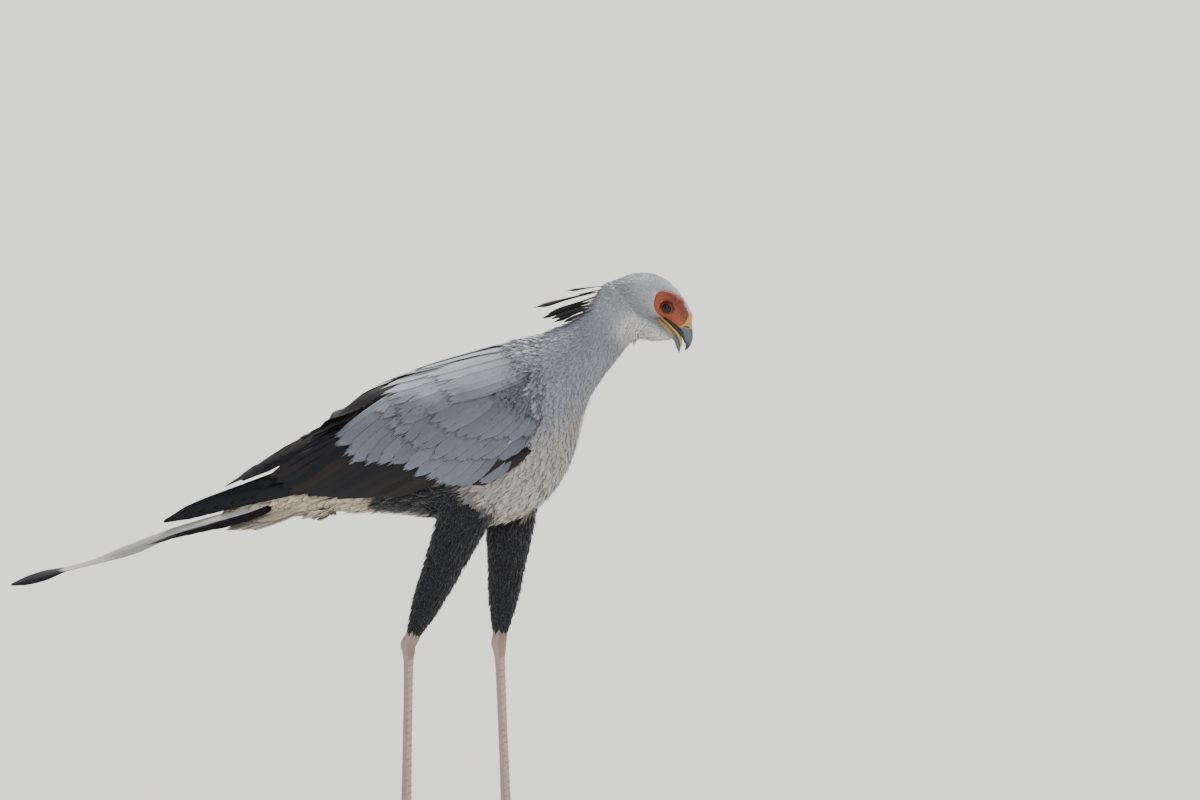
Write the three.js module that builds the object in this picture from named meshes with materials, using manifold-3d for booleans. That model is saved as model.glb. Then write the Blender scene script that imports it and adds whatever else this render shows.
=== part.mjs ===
// A secretary bird, life size, walking with its head lowered: millimetres, +Z up, the bird facing +X.
// The origin is on the floor, below the middle of the bird's length.
import * as THREE from "three";
import { mergeVertices } from "three/addons/utils/BufferGeometryUtils.js";
import Module from "manifold-3d";

const wasm = await Module();
wasm.setup();

// Sizes that several pieces share.
const GAP = 0.3; // between pieces that touch
const VANE_THICK = 0.8;
const EYE = { x: 535, z: 886, side: 26, radius: 10.5 };
const HEAD_PITCH = 42; // degrees, bill down
const EYE_SOCKET = EYE.radius + GAP;
const RIGHT = -1; // the sign of y on the bird's right side
const LEFT = 1;
const SIDE_NAMES = new Map([[RIGHT, "right"], [LEFT, "left"]]);

// Where each leg's joints stand: x along the bird, y out from the middle, z above the floor.
const LEGS = new Map([
  [RIGHT, { knee: [214, 46, 584], heel: [97, 42, 314], foot: [92, 44], turn: -6 }],
  [LEFT, { knee: [276, 46, 590], heel: [250, 42, 310], foot: [262, 44], turn: 6 }],
]);

// The trunk from the tail's root to the nape, as rings: the point above, the point below, the half width.
const TRUNK = [
  [-100, 622, -100, 540, 34],
  [-55, 652, -55, 541, 46],
  [6, 710, 6, 537, 61],
  [70, 743, 72, 535, 75],
  [130, 772, 134, 527, 85],
  [190, 792, 196, 512, 91],
  [240, 809, 257, 517, 92],
  [285, 824, 320, 548, 88],
  [322, 840, 362, 602, 79],
  [350, 853, 383, 660, 68],
  [372, 862, 395, 710, 57],
  [390, 873, 412, 745, 49],
  [410, 897, 452, 798, 39.5],
  [427, 924, 488, 842, 35],
  [446, 934, 502, 862, 31],
];

// The envelope that the closed wings lie on: x, the top, the bottom, the half width.
const ENVELOPE = [
  [-350, 508, 492, 15],
  [-321, 526, 498, 20],
  [-260, 562, 512, 27],
  [-221, 583, 518, 32],
  [-156, 624, 528, 41],
  [-108, 650, 533, 50],
  [-55, 680, 530, 62],
  [6, 732, 524, 77],
  [63, 758, 521, 90],
  [130, 784, 514, 100],
  [215, 811, 502, 105],
  [286, 834, 522, 101],
  [340, 850, 566, 86],
  [380, 862, 650, 64],
];

// The skull and the jaw, in the head's own frame: x ahead of the eye, top, bottom, half width.
const SKULL = [
  [-92, -18, -58, 15],
  [-80, 4, -62, 27],
  [-60, 25, -62, 34.5],
  [-34, 35, -56, 36.5],
  [-12, 36, -36, 34.5],
  [8, 33, -17, 29.5],
  [24, 28.5, -14.5, 23.5],
  [36, 23, -14.2, 18],
  [46, 14, -15, 13.5],
];
const JAW = [
  [-52, -34, -76, 20],
  [-25, -20, -76, 28],
  [0, -20, -68, 28],
  [12, -20.4, -64, 25],
  [24, -21, -56, 20],
  [36, -22, -45, 14.5],
  [45, -24, -37, 10],
];

// The bill, in the head's frame: the point above, the point below, the half width.
const UPPER_BILL = [
  [41, 19.5, 34, -14.3, 16],
  [47, 12, 41, -15, 13.4],
  [54, 4.5, 49, -17, 11],
  [62, -1.8, 56, -20, 8.8],
  [68.5, -8.5, 61, -22.5, 6.5],
  [72.5, -17, 65.5, -25.5, 4.2],
  [74.5, -25.5, 69, -29, 2.2],
  [73.2, -33, 72, -33.4, 0.5],
];
const LOWER_BILL = [
  [8, -20.2, 10, -31, 13.2],
  [25, -20.8, 27, -32, 12],
  [40, -22.2, 40, -33, 10],
  [50, -25, 48, -34.2, 8],
  [58, -29.8, 54.5, -37.6, 5.6],
  [64, -35.8, 60.5, -40.5, 3],
  [68.6, -42.6, 68, -43.4, 0.5],
];
const TONGUE = [
  [2, -17.2, 2, -21.5, 5],
  [20, -16.6, 20, -21.5, 5.6],
  [40, -17.8, 39, -23, 5],
  [54, -22.6, 52, -27, 3.6],
  [63, -31, 61, -34, 1.6],
];
const NOSTRIL = { from: [42.5, -6.5], to: [50.5, 1], deep: 4, high: 1.6, side: 13.4 };

// Vector and number helpers.
const at = (x, y, z) => new THREE.Vector3(x, y, z);
const lerp = THREE.MathUtils.lerp;
const clamp = THREE.MathUtils.clamp;
const rad = THREE.MathUtils.degToRad;
const range = (count) => [...Array(count).keys()];
const share = (i, count) => i / (count - 1);

// Rows made finer by a smooth curve through each of their columns.
function finer(rows, steps) {
  const rowAt = (i) => rows[clamp(i, 0, rows.length - 1)];
  const made = [];
  for (let i = 0; i < rows.length - 1; i++) {
    for (let k = 0; k < steps; k++) {
      const t = k / steps;
      made.push(rows[i].map((_, c) => {
        const [a, b, d, e] = [rowAt(i - 1)[c], rows[i][c], rows[i + 1][c], rowAt(i + 2)[c]];
        return b + 0.5 * t * (d - a + t * (2 * a - 5 * b + 4 * d - e + t * (3 * (b - d) + e - a)));
      }));
    }
  }
  made.push(rows.at(-1));
  return made;
}

// The row at x of a table whose first column is x, by the slopes at its neighbours.
function rowAtX(rows, x) {
  const i = clamp(rows.findIndex((r) => r[0] > x) - 1, 0, rows.length - 2);
  const j = x >= rows.at(-1)[0] ? rows.length - 2 : i;
  const [p, q] = [rows[j], rows[j + 1]];
  const before = rows[Math.max(j - 1, 0)];
  const after = rows[Math.min(j + 2, rows.length - 1)];
  const span = q[0] - p[0];
  const t = clamp((x - p[0]) / span, 0, 1);
  return p.map((v, c) => {
    const inSlope = ((q[c] - before[c]) / (q[0] - before[0])) * span;
    const outSlope = ((after[c] - v) / (after[0] - p[0])) * span;
    const [t2, t3] = [t * t, t * t * t];
    const ends = v * (2 * t3 - 3 * t2 + 1) + q[c] * (3 * t2 - 2 * t3);
    return ends + inSlope * (t3 - 2 * t2 + t) + outSlope * (t3 - t2);
  });
}

// The second column at x of a table whose first column is x, by straight lines.
function straightAt(rows, x) {
  const i = clamp(rows.findIndex((r) => r[0] > x), 1, rows.length - 1);
  const [p, q] = x >= rows.at(-1)[0] ? rows.slice(-2) : [rows[i - 1], rows[i]];
  return lerp(p[1], q[1], (x - p[0]) / (q[0] - p[0]));
}

// A geometry from points and triangles.
function geometryOf(points, triangles) {
  const flat = new Float32Array(points.flatMap((p) => [p.x, p.y, p.z]));
  return new THREE.BufferGeometry()
    .setAttribute("position", new THREE.BufferAttribute(flat, 3))
    .setIndex(triangles);
}

// A closed skin over rings with the same number of points, each end closed on its middle.
function skinOver(rings) {
  const sides = rings[0].length;
  const middle = (ring) => ring.reduce((sum, p) => sum.add(p), at(0, 0, 0)).divideScalar(sides);
  const points = [...rings.flat(), middle(rings[0]), middle(rings.at(-1))];
  const first = rings.length * sides;
  const last = (rings.length - 1) * sides;
  const triangles = [];
  for (const k of range(sides)) {
    const next = (k + 1) % sides;
    for (const r of range(rings.length - 1)) {
      const [a, b] = [r * sides + k, r * sides + next];
      triangles.push(a, b, b + sides, a, b + sides, a + sides);
    }
    triangles.push(first, next, k, first + 1, last + k, last + next);
  }
  return geometryOf(points, triangles);
}

// A closed plate between an upper and a lower grid of points, split into triangles alike on both faces.
function plateBetween(upper, lower) {
  const [rows, cols] = [upper.length, upper[0].length];
  const under = rows * cols;
  const index = (r, c) => r * cols + c;
  const triangles = [];
  for (const r of range(rows - 1)) {
    for (const c of range(cols - 1)) {
      const [a, b, d, e] = [index(r, c), index(r, c + 1), index(r + 1, c + 1), index(r + 1, c)];
      triangles.push(a, b, d, a, d, e, under + a, under + d, under + b, under + a, under + e, under + d);
    }
  }
  const rim = [
    ...range(cols - 1).map((c) => index(0, c)),
    ...range(rows - 1).map((r) => index(r, cols - 1)),
    ...range(cols - 1).map((c) => index(rows - 1, cols - 1 - c)),
    ...range(rows - 1).map((r) => index(rows - 1 - r, 0)),
  ];
  rim.forEach((a, i) => {
    const b = rim[(i + 1) % rim.length];
    triangles.push(a, under + a, under + b, a, under + b, b);
  });
  return geometryOf([...upper.flat(), ...lower.flat()], triangles);
}

// A closed geometry as a solid, turned to face out, its points set on a fine grid and merged there.
const FINEST = 0.004;
function solidOf(geometry) {
  const bare = geometry.clone();
  bare.deleteAttribute("normal");
  bare.deleteAttribute("uv");
  bare.attributes.position.array.forEach((v, i, all) => {
    all[i] = Math.round(v / FINEST) * FINEST;
  });
  const merged = mergeVertices(bare, FINEST / 4);
  const triangles = [];
  for (let i = 0; i < merged.index.count; i += 3) {
    const [a, b, c] = [0, 1, 2].map((k) => merged.index.getX(i + k));
    if (a !== b && b !== c && c !== a) {
      triangles.push(a, b, c);
    }
  }
  const build = (index) =>
    new wasm.Manifold(
      new wasm.Mesh({
        numProp: 3,
        vertProperties: merged.attributes.position.array,
        triVerts: new Uint32Array(index),
      }),
    );
  const made = build(triangles);
  return made.volume() > 0 ? made : build(triangles.toReversed());
}

// A solid's surface as a geometry.
function surfaceOf(solid) {
  const mesh = solid.getMesh();
  const points = new Float32Array(mesh.numVert * 3);
  for (const i of range(mesh.numVert)) {
    points.set(mesh.vertProperties.subarray(i * mesh.numProp, i * mesh.numProp + 3), i * 3);
  }
  return new THREE.BufferGeometry()
    .setAttribute("position", new THREE.BufferAttribute(points, 3))
    .setIndex(new THREE.BufferAttribute(mesh.triVerts, 1));
}

const joined = (solids) => solids.reduce((whole, next) => whole.add(next));

// The largest closed piece of a solid.
function largest(solid) {
  const pieces = solid.decompose();
  return pieces.sort((a, b) => b.volume() - a.volume())[0];
}

// Rings in upright planes, from rows of point above, point below and half width.
function ovalRing([topX, topZ, lowX, lowZ, half], sides, grow = 0) {
  const reach = Math.hypot(topX - lowX, topZ - lowZ) / 2;
  const [upX, upZ] = [(topX - lowX) / 2, (topZ - lowZ) / 2].map((v) => (v * (reach + grow)) / reach);
  return range(sides).map((k) => {
    const angle = (2 * Math.PI * k) / sides;
    const rise = Math.cos(angle);
    return at(
      (topX + lowX) / 2 + upX * rise,
      (half + grow) * Math.sin(angle),
      (topZ + lowZ) / 2 + upZ * rise,
    );
  });
}
function ovalBody(rows, sides, steps, grow = 0) {
  const endStep = (row, next) => Math.hypot(row[0] - next[0], row[1] - next[1]);
  const pushed = (row, next) =>
    row.map((v, c) => (c < 4 ? v + ((v - next[c]) * grow) / endStep(row, next) : v));
  const fine = finer(rows, steps);
  const ends = [pushed(fine[0], fine[1]), pushed(fine.at(-1), fine.at(-2))];
  const all = grow ? [ends[0], ...fine, ends[1]] : fine;
  return solidOf(skinOver(all.map((row) => ovalRing(row, sides, grow))));
}
const upright = (rows) => rows.map(([x, top, low, half]) => [x, top, x, low, half]);

// The head's own frame, eye level at the origin and the bill ahead, set on the bird.
const headFrame = new THREE.Matrix4()
  .makeTranslation(EYE.x, 0, EYE.z)
  .multiply(new THREE.Matrix4().makeRotationY(rad(HEAD_PITCH)));
const onHead = (solid) => solid.transform(headFrame.elements);

// A point on the wings' envelope: x, the angle down from the back, the lift off the envelope.
function onEnvelope(x, angle, lift, side) {
  const [, top, low, half] = rowAtX(ENVELOPE, x);
  const high = (top - low) / 2;
  const [out, up] = [Math.sin(angle), Math.cos(angle)];
  const normal = new THREE.Vector2(out / half, up / high).normalize();
  return at(x, side * (half * out + normal.x * lift), (top + low) / 2 + high * up + normal.y * lift);
}
function angleAt(x, z) {
  const [, top, low] = rowAtX(ENVELOPE, x);
  return Math.acos(clamp((2 * z - top - low) / (top - low), -1, 1));
}

// The point of the envelope abreast of a free point, lifted off it.
function ontoEnvelope(point, lift, side) {
  const [, top, low, half] = rowAtX(ENVELOPE, point.x);
  const angle = Math.atan2((side * point.y) / half, (2 * point.z - top - low) / (top - low));
  return onEnvelope(point.x, angle, lift, side);
}

// A feather's vane: rows from root to tip, each an edge, the raised shaft and the other edge, on two faces.
// ends are the two ends and the bend between them, place puts a point of the row on what carries it.
const VANE_ROWS = [0, 0.4, 0.8, 1];
const VANE_SHAPE = [0.6, 1, 0.85, 0.3];
function vane({ line, half, thick, tilt, place, shape = VANE_SHAPE, rows = VANE_ROWS }) {
  const faceRows = (lift) =>
    rows.map((t, r) => {
      const width = half * shape[r];
      const ridge = lift > 0 ? 1.5 : 1;
      const rise = (s) => s * tilt * shape[r] + lift * (s ? 1 : ridge);
      return [-1, 0, 1].map((s) => place(line(t), s * width, rise(s), t));
    });
  return solidOf(plateBetween(faceRows(thick / 2), faceRows(-thick / 2)));
}

// A bent line between two points through a point beside its middle.
const bent = (root, tip, bend) => (t) =>
  at(lerp(root[0], tip[0], t), 0, lerp(root[1], tip[1], t) + 4 * bend * t * (1 - t));

// A vane lying on the closed wing, its line given in side view.
function wingVane({ root, tip, bend, half, lift, sink, side, tilt }) {
  const line = bent(root, tip, bend);
  const across = (t) => {
    const [a, b] = [line(Math.max(t - 0.05, 0)), line(Math.min(t + 0.05, 1))].map((p) =>
      onEnvelope(p.x, angleAt(p.x, p.z), 0, side),
    );
    const middle = a.clone().add(b).multiplyScalar(0.5);
    const normal = ontoEnvelope(middle, 10, side).sub(ontoEnvelope(middle, 0, side)).normalize();
    return b.clone().sub(a).normalize().cross(normal).multiplyScalar(side);
  };
  const place = (p, off, rise, t) => {
    const middle = onEnvelope(p.x, angleAt(p.x, p.z), 0, side).addScaledVector(across(t), off);
    return ontoEnvelope(middle, lift + rise - sink * (1 - t) ** 2, side);
  };
  return vane({ line, half, thick: VANE_THICK, tilt, place });
}

// Rows for a long vane: where its carrier bends between its ends, then two that round its tip.
function stationRows(from, tip, bends, shoulder) {
  const length = from - tip;
  const inside = bends.filter((x) => x < from - 5 && x > tip + shoulder + 5);
  const rows = [0, ...inside.toSorted((a, b) => b - a).map((x) => (from - x) / length)];
  const shape = [0.8, ...inside.map(() => 1), 1, 0.7, 0.2];
  return { rows: [...rows, 1 - shoulder / length, 1 - (0.3 * shoulder) / length, 1], shape };
}

// The closed wing's core on the envelope, from its top edge down to its lower edge.
const WING_CORE = {
  rear: -67,
  front: 334,
  rows: 8,
  cols: 5,
  topAngle: rad(6),
  lowerEdge: [
    [-67, 601],
    [-32, 590],
    [41, 606],
    [97, 604],
    [137, 592],
    [215, 598],
    [286, 640],
    [334, 712],
  ],
};
function wingCore(side) {
  const { rear, front, rows, cols, topAngle, lowerEdge } = WING_CORE;
  const nearFront = (x) => Math.max(0, (x - front + 70) / 70) ** 2;
  const nearRear = (x) => clamp((150 - x) / 190, 0, 1);
  const rounded = (down) => 9 * Math.max(0, (down - 0.7) / 0.3) ** 2;
  const outer = (x, down) => -2.4 - 10 * nearRear(x) - 10 * nearFront(x) - rounded(down);
  const inner = (x) => -15 - 9 * nearFront(x);
  const grid = (lift) =>
    range(rows).map((r) => {
      const x = lerp(rear, front, share(r, rows));
      const low = angleAt(x, rowAtX(lowerEdge, x)[1]);
      return range(cols).map((c) => {
        const down = share(c, cols);
        return onEnvelope(x, lerp(topAngle, low, down), lift(x, down), side);
      });
    });
  return solidOf(plateBetween(grid(outer), grid(inner)));
}

// The wing's tiers, outermost last. Each runs from its lowest feather to its highest, in side view (x, z).
// half is the vane's half width, lift its height off the envelope, step each feather's height over the last,
// tilt how far its lower edge stands up, and sink how far its root dips.
const TIERS = [
  {
    count: 7,
    roots: [[226, 650], [70, 726]],
    tips: [[44, 564], [-6, 561], [-58, 564], [-106, 574], [-142, 600]],
    bend: -7,
    half: 23,
    lift: -7.4,
    step: 0.45,
    tilt: 2.1,
    sink: 3,
  },
  {
    count: 3,
    roots: [[82, 730], [128, 776]],
    tips: [[-198, 594], [-150, 620], [-78, 656]],
    bend: 7,
    half: 19,
    lift: -3.4,
    step: 1.3,
    tilt: 1.2,
    sink: 7,
  },
  {
    count: 7,
    roots: [[268, 640], [84, 752]],
    tips: [[236, 602], [165, 588], [114, 603], [60, 622], [-2, 628], [-30, 668]],
    bend: -5,
    half: 22,
    lift: -1.6,
    step: 0.25,
    tilt: 1.7,
    sink: 5,
  },
  {
    count: 7,
    roots: [[292, 676], [150, 776]],
    tips: [[262, 642], [170, 632], [90, 660], [40, 712]],
    bend: -3,
    half: 20,
    lift: 1.2,
    step: 0.1,
    tilt: 1.7,
    sink: 5,
  },
  {
    count: 4,
    roots: [[262, 770], [236, 812]],
    tips: [[108, 704], [84, 728], [62, 748]],
    bend: 4,
    half: 20,
    lift: 2.6,
    step: 0.4,
    tilt: 1.8,
    sink: 5,
  },
];
const along = (points, t) => {
  const spread = points.map((p, i) => [i / (points.length - 1), ...p]);
  return rowAtX(spread, t).slice(1);
};

// The primaries: upright blades stacked one on the other, the longest innermost, on a bent line seen from
// above.
const PRIMARIES = {
  count: 5,
  roots: [[-40, 624], [110, 634]],
  tips: [[-322, 520], [-172, 563]],
  half: 14,
  step: 1.15,
  shoulder: 34,
  from: [[-322, 5.2], [-157, 26.6], [-62, 47.6], [7, 63.4], [112, 83]],
};
function primary(side, i) {
  const t = share(i, PRIMARIES.count);
  const [root, tip] = [along(PRIMARIES.roots, t), along(PRIMARIES.tips, t)];
  const place = (p, off, rise) =>
    at(p.x, side * (straightAt(PRIMARIES.from, p.x) + PRIMARIES.step * i + rise), p.z + off);
  const bends = PRIMARIES.from.map((row) => row[0]);
  const rows = stationRows(root[0], tip[0], bends, PRIMARIES.shoulder);
  const line = bent(root, tip, 0);
  return vane({ ...rows, line, half: PRIMARIES.half, thick: VANE_THICK, tilt: 0, place });
}

function wing(side) {
  const feathers = TIERS.flatMap((tier) =>
    range(tier.count).map((i) => {
      const t = share(i, tier.count);
      const lift = tier.lift + tier.step * i;
      return wingVane({ ...tier, lift, root: along(tier.roots, t), tip: along(tier.tips, t), side });
    }),
  );
  const hand = range(PRIMARIES.count).map((i) => primary(side, i));
  return joined([wingCore(side), ...hand, ...feathers]);
}

// The tail: the fleshy root, the graduated shorter feathers in pairs, the coverts and the long middle pair.
const TAIL_ROOT = [
  [-60, 636, 527, 40],
  [-100, 614, 532, 31],
  [-140, 590, 534, 24],
  [-180, 566, 528, 18],
  [-212, 548, 526, 10],
];
const TAIL_LINE = [
  [-581, 415],
  [-498, 440],
  [-435, 457],
  [-370, 479],
  [-306, 506],
  [-240, 528],
  [-175, 546],
  [-60, 588],
];
const SHORT_PAIRS = {
  tips: [-352, -326, -300, -274, -248],
  half: 17,
  apart: 17.5,
  drop: 5.5,
  step: 2.4,
  roll: 18,
};
const LONG_PAIR = { from: -110, tip: -581, half: 14, apart: 14.5, drop: 2, shoulder: 30 };
const LONG_ROLL = [
  [-581, 44],
  [-530, 34],
  [-498, 14],
  [-435, 26],
  [-400, 56],
  [-370, 52],
  [-345, 22],
  [-306, 18],
  [-60, 18],
];
const COVERTS = { pairs: 3, half: 14, roll: 30, rows: [0, 0.5, 0.85, 1], shape: [0.7, 1, 0.8, 0.3] };

// A vane hung on the tail's line, apart from the middle and rolled about its own length.
function tailVane({ from, tip, half, apart, drop, roll, side, thick = VANE_THICK, rows, shape }) {
  const line = (t) => {
    const x = lerp(from, tip, t);
    return at(x, side * apart, straightAt(TAIL_LINE, x) - drop);
  };
  const place = (p, off, rise) => {
    const angle = rad(roll(p.x));
    return at(
      p.x,
      p.y + side * (off * Math.cos(angle) + rise * Math.sin(angle)),
      p.z + rise * Math.cos(angle) - off * Math.sin(angle),
    );
  };
  return vane({ line, half, thick, tilt: 0, place, rows, shape });
}
function tail() {
  const root = ovalBody(upright(TAIL_ROOT), 12, 1);
  const bends = TAIL_LINE.map((row) => row[0]);
  const rolls = LONG_ROLL.map((row) => row[0]);
  const pieces = [LEFT, RIGHT].flatMap((side) => [
    tailVane({
      ...LONG_PAIR,
      ...stationRows(LONG_PAIR.from, LONG_PAIR.tip, [...new Set([...bends, ...rolls])], LONG_PAIR.shoulder),
      thick: 1.1,
      roll: (x) => straightAt(LONG_ROLL, x),
      side,
    }),
    ...SHORT_PAIRS.tips.map((tip, i) =>
      tailVane({
        ...SHORT_PAIRS,
        ...stationRows(-140, tip, bends, 24),
        from: -140,
        tip,
        drop: SHORT_PAIRS.drop + SHORT_PAIRS.step * i,
        roll: () => SHORT_PAIRS.roll,
        side,
      }),
    ),
    ...range(COVERTS.pairs).map((i) =>
      tailVane({
        ...COVERTS,
        from: -84 - 18 * i,
        tip: -176 - 24 * i,
        apart: 15.5 - 1.2 * i,
        drop: 38 - 5 * i,
        roll: () => COVERTS.roll,
        side,
      }),
    ),
  ]);
  return joined([root, ...pieces]);
}

// The crest's plumes, in side view from root to tip, with the bend between and the spread to each side.
const PLUMES = [
  { root: [425, 921], tip: [366, 914], bend: 1, spread: 3, half: 3.6 },
  { root: [425, 913], tip: [311, 886], bend: 2, spread: -6, half: 5.6 },
  { root: [424, 910], tip: [350, 881], bend: -2, spread: 15, half: 5.4 },
  { root: [422, 905], tip: [334, 876], bend: 2, spread: -17, half: 5.6 },
  { root: [420, 900], tip: [323, 867], bend: 2, spread: 8, half: 5.8 },
  { root: [417, 893], tip: [339, 868], bend: 1, spread: -26, half: 5 },
  { root: [417, 893], tip: [346, 871], bend: 1, spread: 26, half: 5 },
  { root: [414, 888], tip: [352, 866], bend: 2, spread: -11, half: 5.2 },
  { root: [412, 884], tip: [344, 860], bend: 3, spread: 17, half: 5.4 },
  { root: [410, 881], tip: [360, 862], bend: 3, spread: -32, half: 4.4 },
];
const PLUME = { thick: VANE_THICK, rows: [0, 0.5, 0.86, 1], shape: [0.4, 0.55, 1, 0.45] };
function plume({ root, tip, bend, spread, half }) {
  const side = bent(root, tip, bend);
  const line = (t) => side(t).add(at(0, spread * (0.6 + 0.4 * t), 0));
  const back = at(tip[0] - root[0], 0.4 * spread, tip[1] - root[1]).normalize();
  const roll = rad(38) * Math.sign(spread);
  const across = at(0, 1, 0).addScaledVector(back, -back.y).normalize().applyAxisAngle(back, roll);
  const normal = across.clone().cross(back).normalize();
  const place = (p, off, rise) => p.clone().addScaledVector(across, off).addScaledVector(normal, rise);
  return vane({ ...PLUME, line, half, tilt: 0, place });
}

// A limb as round rings along a line of points, each with its half depth and half width.
function limb(rows, sides, steps) {
  const path = finer(rows, steps);
  const rings = path.map(([x, y, z, deep, wide], i) => {
    const a = path[Math.max(i - 1, 0)];
    const b = path[Math.min(i + 1, path.length - 1)];
    const along = at(b[0] - a[0], b[1] - a[1], b[2] - a[2]).normalize();
    const across = at(0, 1, 0).addScaledVector(along, -along.y).normalize();
    const ahead = across.clone().cross(along).normalize();
    return range(sides).map((k) => {
      const angle = (2 * Math.PI * k) / sides;
      return at(x, y, z)
        .addScaledVector(ahead, deep * Math.cos(angle))
        .addScaledVector(across, wide * Math.sin(angle));
    });
  });
  return solidOf(skinOver(rings));
}

// The plane just above the heel where feathers give way to bare skin, facing down the leg.
const FEATHER_END = 0.95; // of the way from knee to heel
function featherEnd(side) {
  const { knee, heel } = LEGS.get(side);
  const along = at(heel[0] - knee[0], side * (heel[1] - knee[1]), heel[2] - knee[2]);
  const place = at(knee[0], side * knee[1], knee[2]).addScaledVector(along, FEATHER_END);
  const normal = along.clone().normalize();
  return { place, normal, offset: normal.dot(place) };
}

// The feathered thigh, from inside the body to just above the heel.
function thigh(side) {
  const { knee, heel } = LEGS.get(side);
  const end = featherEnd(side);
  const stretch = (t, deep, wide) => [
    lerp(knee[0], heel[0], t),
    side * lerp(knee[1], heel[1], t),
    lerp(knee[2], heel[2], t),
    deep,
    wide,
  ];
  return limb(
    [
      stretch(-0.1, 40, 28),
      stretch(0.08, 46, 33),
      stretch(0.3, 41, 31),
      stretch(0.52, 33, 26),
      stretch(0.74, 26, 21),
      stretch(0.9, 17, 14.5),
      stretch(1, 12.5, 11),
    ],
    12,
    2,
  ).trimByPlane(end.normal.clone().negate().toArray(), -end.offset);
}

// The bare shank with its row of broad scutes in front, from the heel to the toes' root.
const SHANK = { scutes: 12, step: 1, sides: 8 };
function shank(side) {
  const { heel, foot } = LEGS.get(side);
  const { place, normal, offset } = featherEnd(side);
  const start = place.clone().addScaledVector(normal, -5);
  const joint = at(heel[0], side * heel[1], heel[2]);
  const end = at(foot[0], side * foot[1], PAD.height);
  const placeAt = (t) => joint.clone().lerp(end, t).toArray();
  const rows = [
    [start.x, start.y, start.z, 9, 8.5],
    [joint.x, joint.y, joint.z + 2, 12.5, 10.5],
    [...placeAt(0.08), 10.5, 9],
  ];
  for (const i of range(SHANK.scutes)) {
    const low = lerp(0.11, 0.93, (i + 0.94) / SHANK.scutes);
    const high = lerp(0.11, 0.93, i / SHANK.scutes);
    const slim = 1 - 0.1 * Math.sin(Math.PI * high);
    rows.push([...placeAt(high), 8 * slim, 6.9 * slim]);
    rows.push([...placeAt(low), 8 * slim + SHANK.step, 6.9 * slim + 0.4]);
  }
  rows.push([...placeAt(1.02), 9.5, 9.5]);
  return limb(rows, SHANK.sides, 1)
    .trimByPlane(normal.toArray(), offset + GAP)
    .trimByPlane([0, 0, 1], PAD.height);
}

// Toes: the direction from the foot's middle, the length, the thickness, and the claw's length.
const TOES = [
  { name: "middle", turn: 0, length: 72, thick: 8.2, claw: 21 },
  { name: "inner", turn: -32, length: 50, thick: 7.8, claw: 22 },
  { name: "outer", turn: 30, length: 54, thick: 7.6, claw: 18 },
  { name: "hind", turn: 172, length: 27, thick: 6.8, claw: 19 },
];
const PAD = { radius: 12.5, height: 17 };
function footRing(centre, heading, wide, high, sides) {
  const across = at(-Math.sin(heading), Math.cos(heading), 0);
  return range(sides).map((k) => {
    const angle = (2 * Math.PI * k) / sides;
    const p = centre.clone().addScaledVector(across, wide * Math.sin(angle));
    p.z = Math.max(0, centre.z + high * Math.cos(angle));
    return p;
  });
}
function toeLine(side, toe) {
  const { foot, turn } = LEGS.get(side);
  const heading = rad(turn + side * -toe.turn);
  const along = at(Math.cos(heading), Math.sin(heading), 0);
  const root = at(foot[0], side * foot[1], 0);
  return { heading, along, root };
}
function toeSolid(side, toe) {
  const { heading, along, root } = toeLine(side, toe);
  const knuckles = [0, 0.22, 0.4, 0.55, 0.7, 0.85, 1];
  const rings = knuckles.map((t, i) => {
    const thick = toe.thick * lerp(1.06, 0.72, t) * (i % 2 ? 1 : 0.9);
    const centre = root.clone().addScaledVector(along, toe.length * t);
    centre.z = lerp(PAD.height * 0.45, thick * 0.8, Math.min(1, t * 2.5));
    return footRing(centre, heading, thick, thick, 8);
  });
  return solidOf(skinOver(rings));
}
function foot(side) {
  const { foot: place } = LEGS.get(side);
  const pad = skinOver(
    [0, 5, 11, PAD.height - GAP].map((z, i) =>
      range(8).map((k) => {
        const angle = (2 * Math.PI * k) / 8;
        const r = PAD.radius * [0.92, 1, 0.92, 0.74][i];
        return at(place[0] + r * Math.cos(angle), side * place[1] + r * Math.sin(angle), z);
      }),
    ),
  );
  return joined([solidOf(pad), ...TOES.map((toe) => toeSolid(side, toe))]);
}
function claw(side, toe) {
  const { heading, along, root } = toeLine(side, toe);
  const base = toe.thick * 0.72;
  const rings = [0, 0.25, 0.5, 0.75, 1].map((t) => {
    const slim = lerp(0.88, 0.1, t ** 1.3) * base;
    const centre = root.clone().addScaledVector(along, toe.length + GAP + toe.claw * Math.sin(t * 1.35));
    centre.z = base * 0.8 + 2.2 * Math.sin(Math.PI * t * 0.8) - base * 0.72 * t * t;
    return footRing(centre, heading, slim * 0.8, slim, 6);
  });
  return solidOf(skinOver(rings));
}

// The trunk, and the two planes that part neck from body and head from neck.
const SHOULDER_CUT = { x: 372, z: 772, tilt: 52 };
const NAPE_CUT = 99; // below the eye, in the head's frame
const trunk = ovalBody(TRUNK, 18, 2);
const trunkClear = ovalBody(TRUNK, 18, 2, GAP);
const shoulderNormal = [Math.cos(rad(SHOULDER_CUT.tilt)), 0, Math.sin(rad(SHOULDER_CUT.tilt))];
const shoulderAt = SHOULDER_CUT.x * shoulderNormal[0] + SHOULDER_CUT.z * shoulderNormal[2];
const napeNormal = [Math.sin(rad(HEAD_PITCH)), 0, Math.cos(rad(HEAD_PITCH))];
const napeAt = EYE.x * napeNormal[0] + EYE.z * napeNormal[2] - NAPE_CUT;
const behind = (solid, normal, offset) => solid.trimByPlane(normal.map((v) => -v), -offset);

const tailClear = ovalBody(upright(TAIL_ROOT), 12, 1, GAP);

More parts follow.
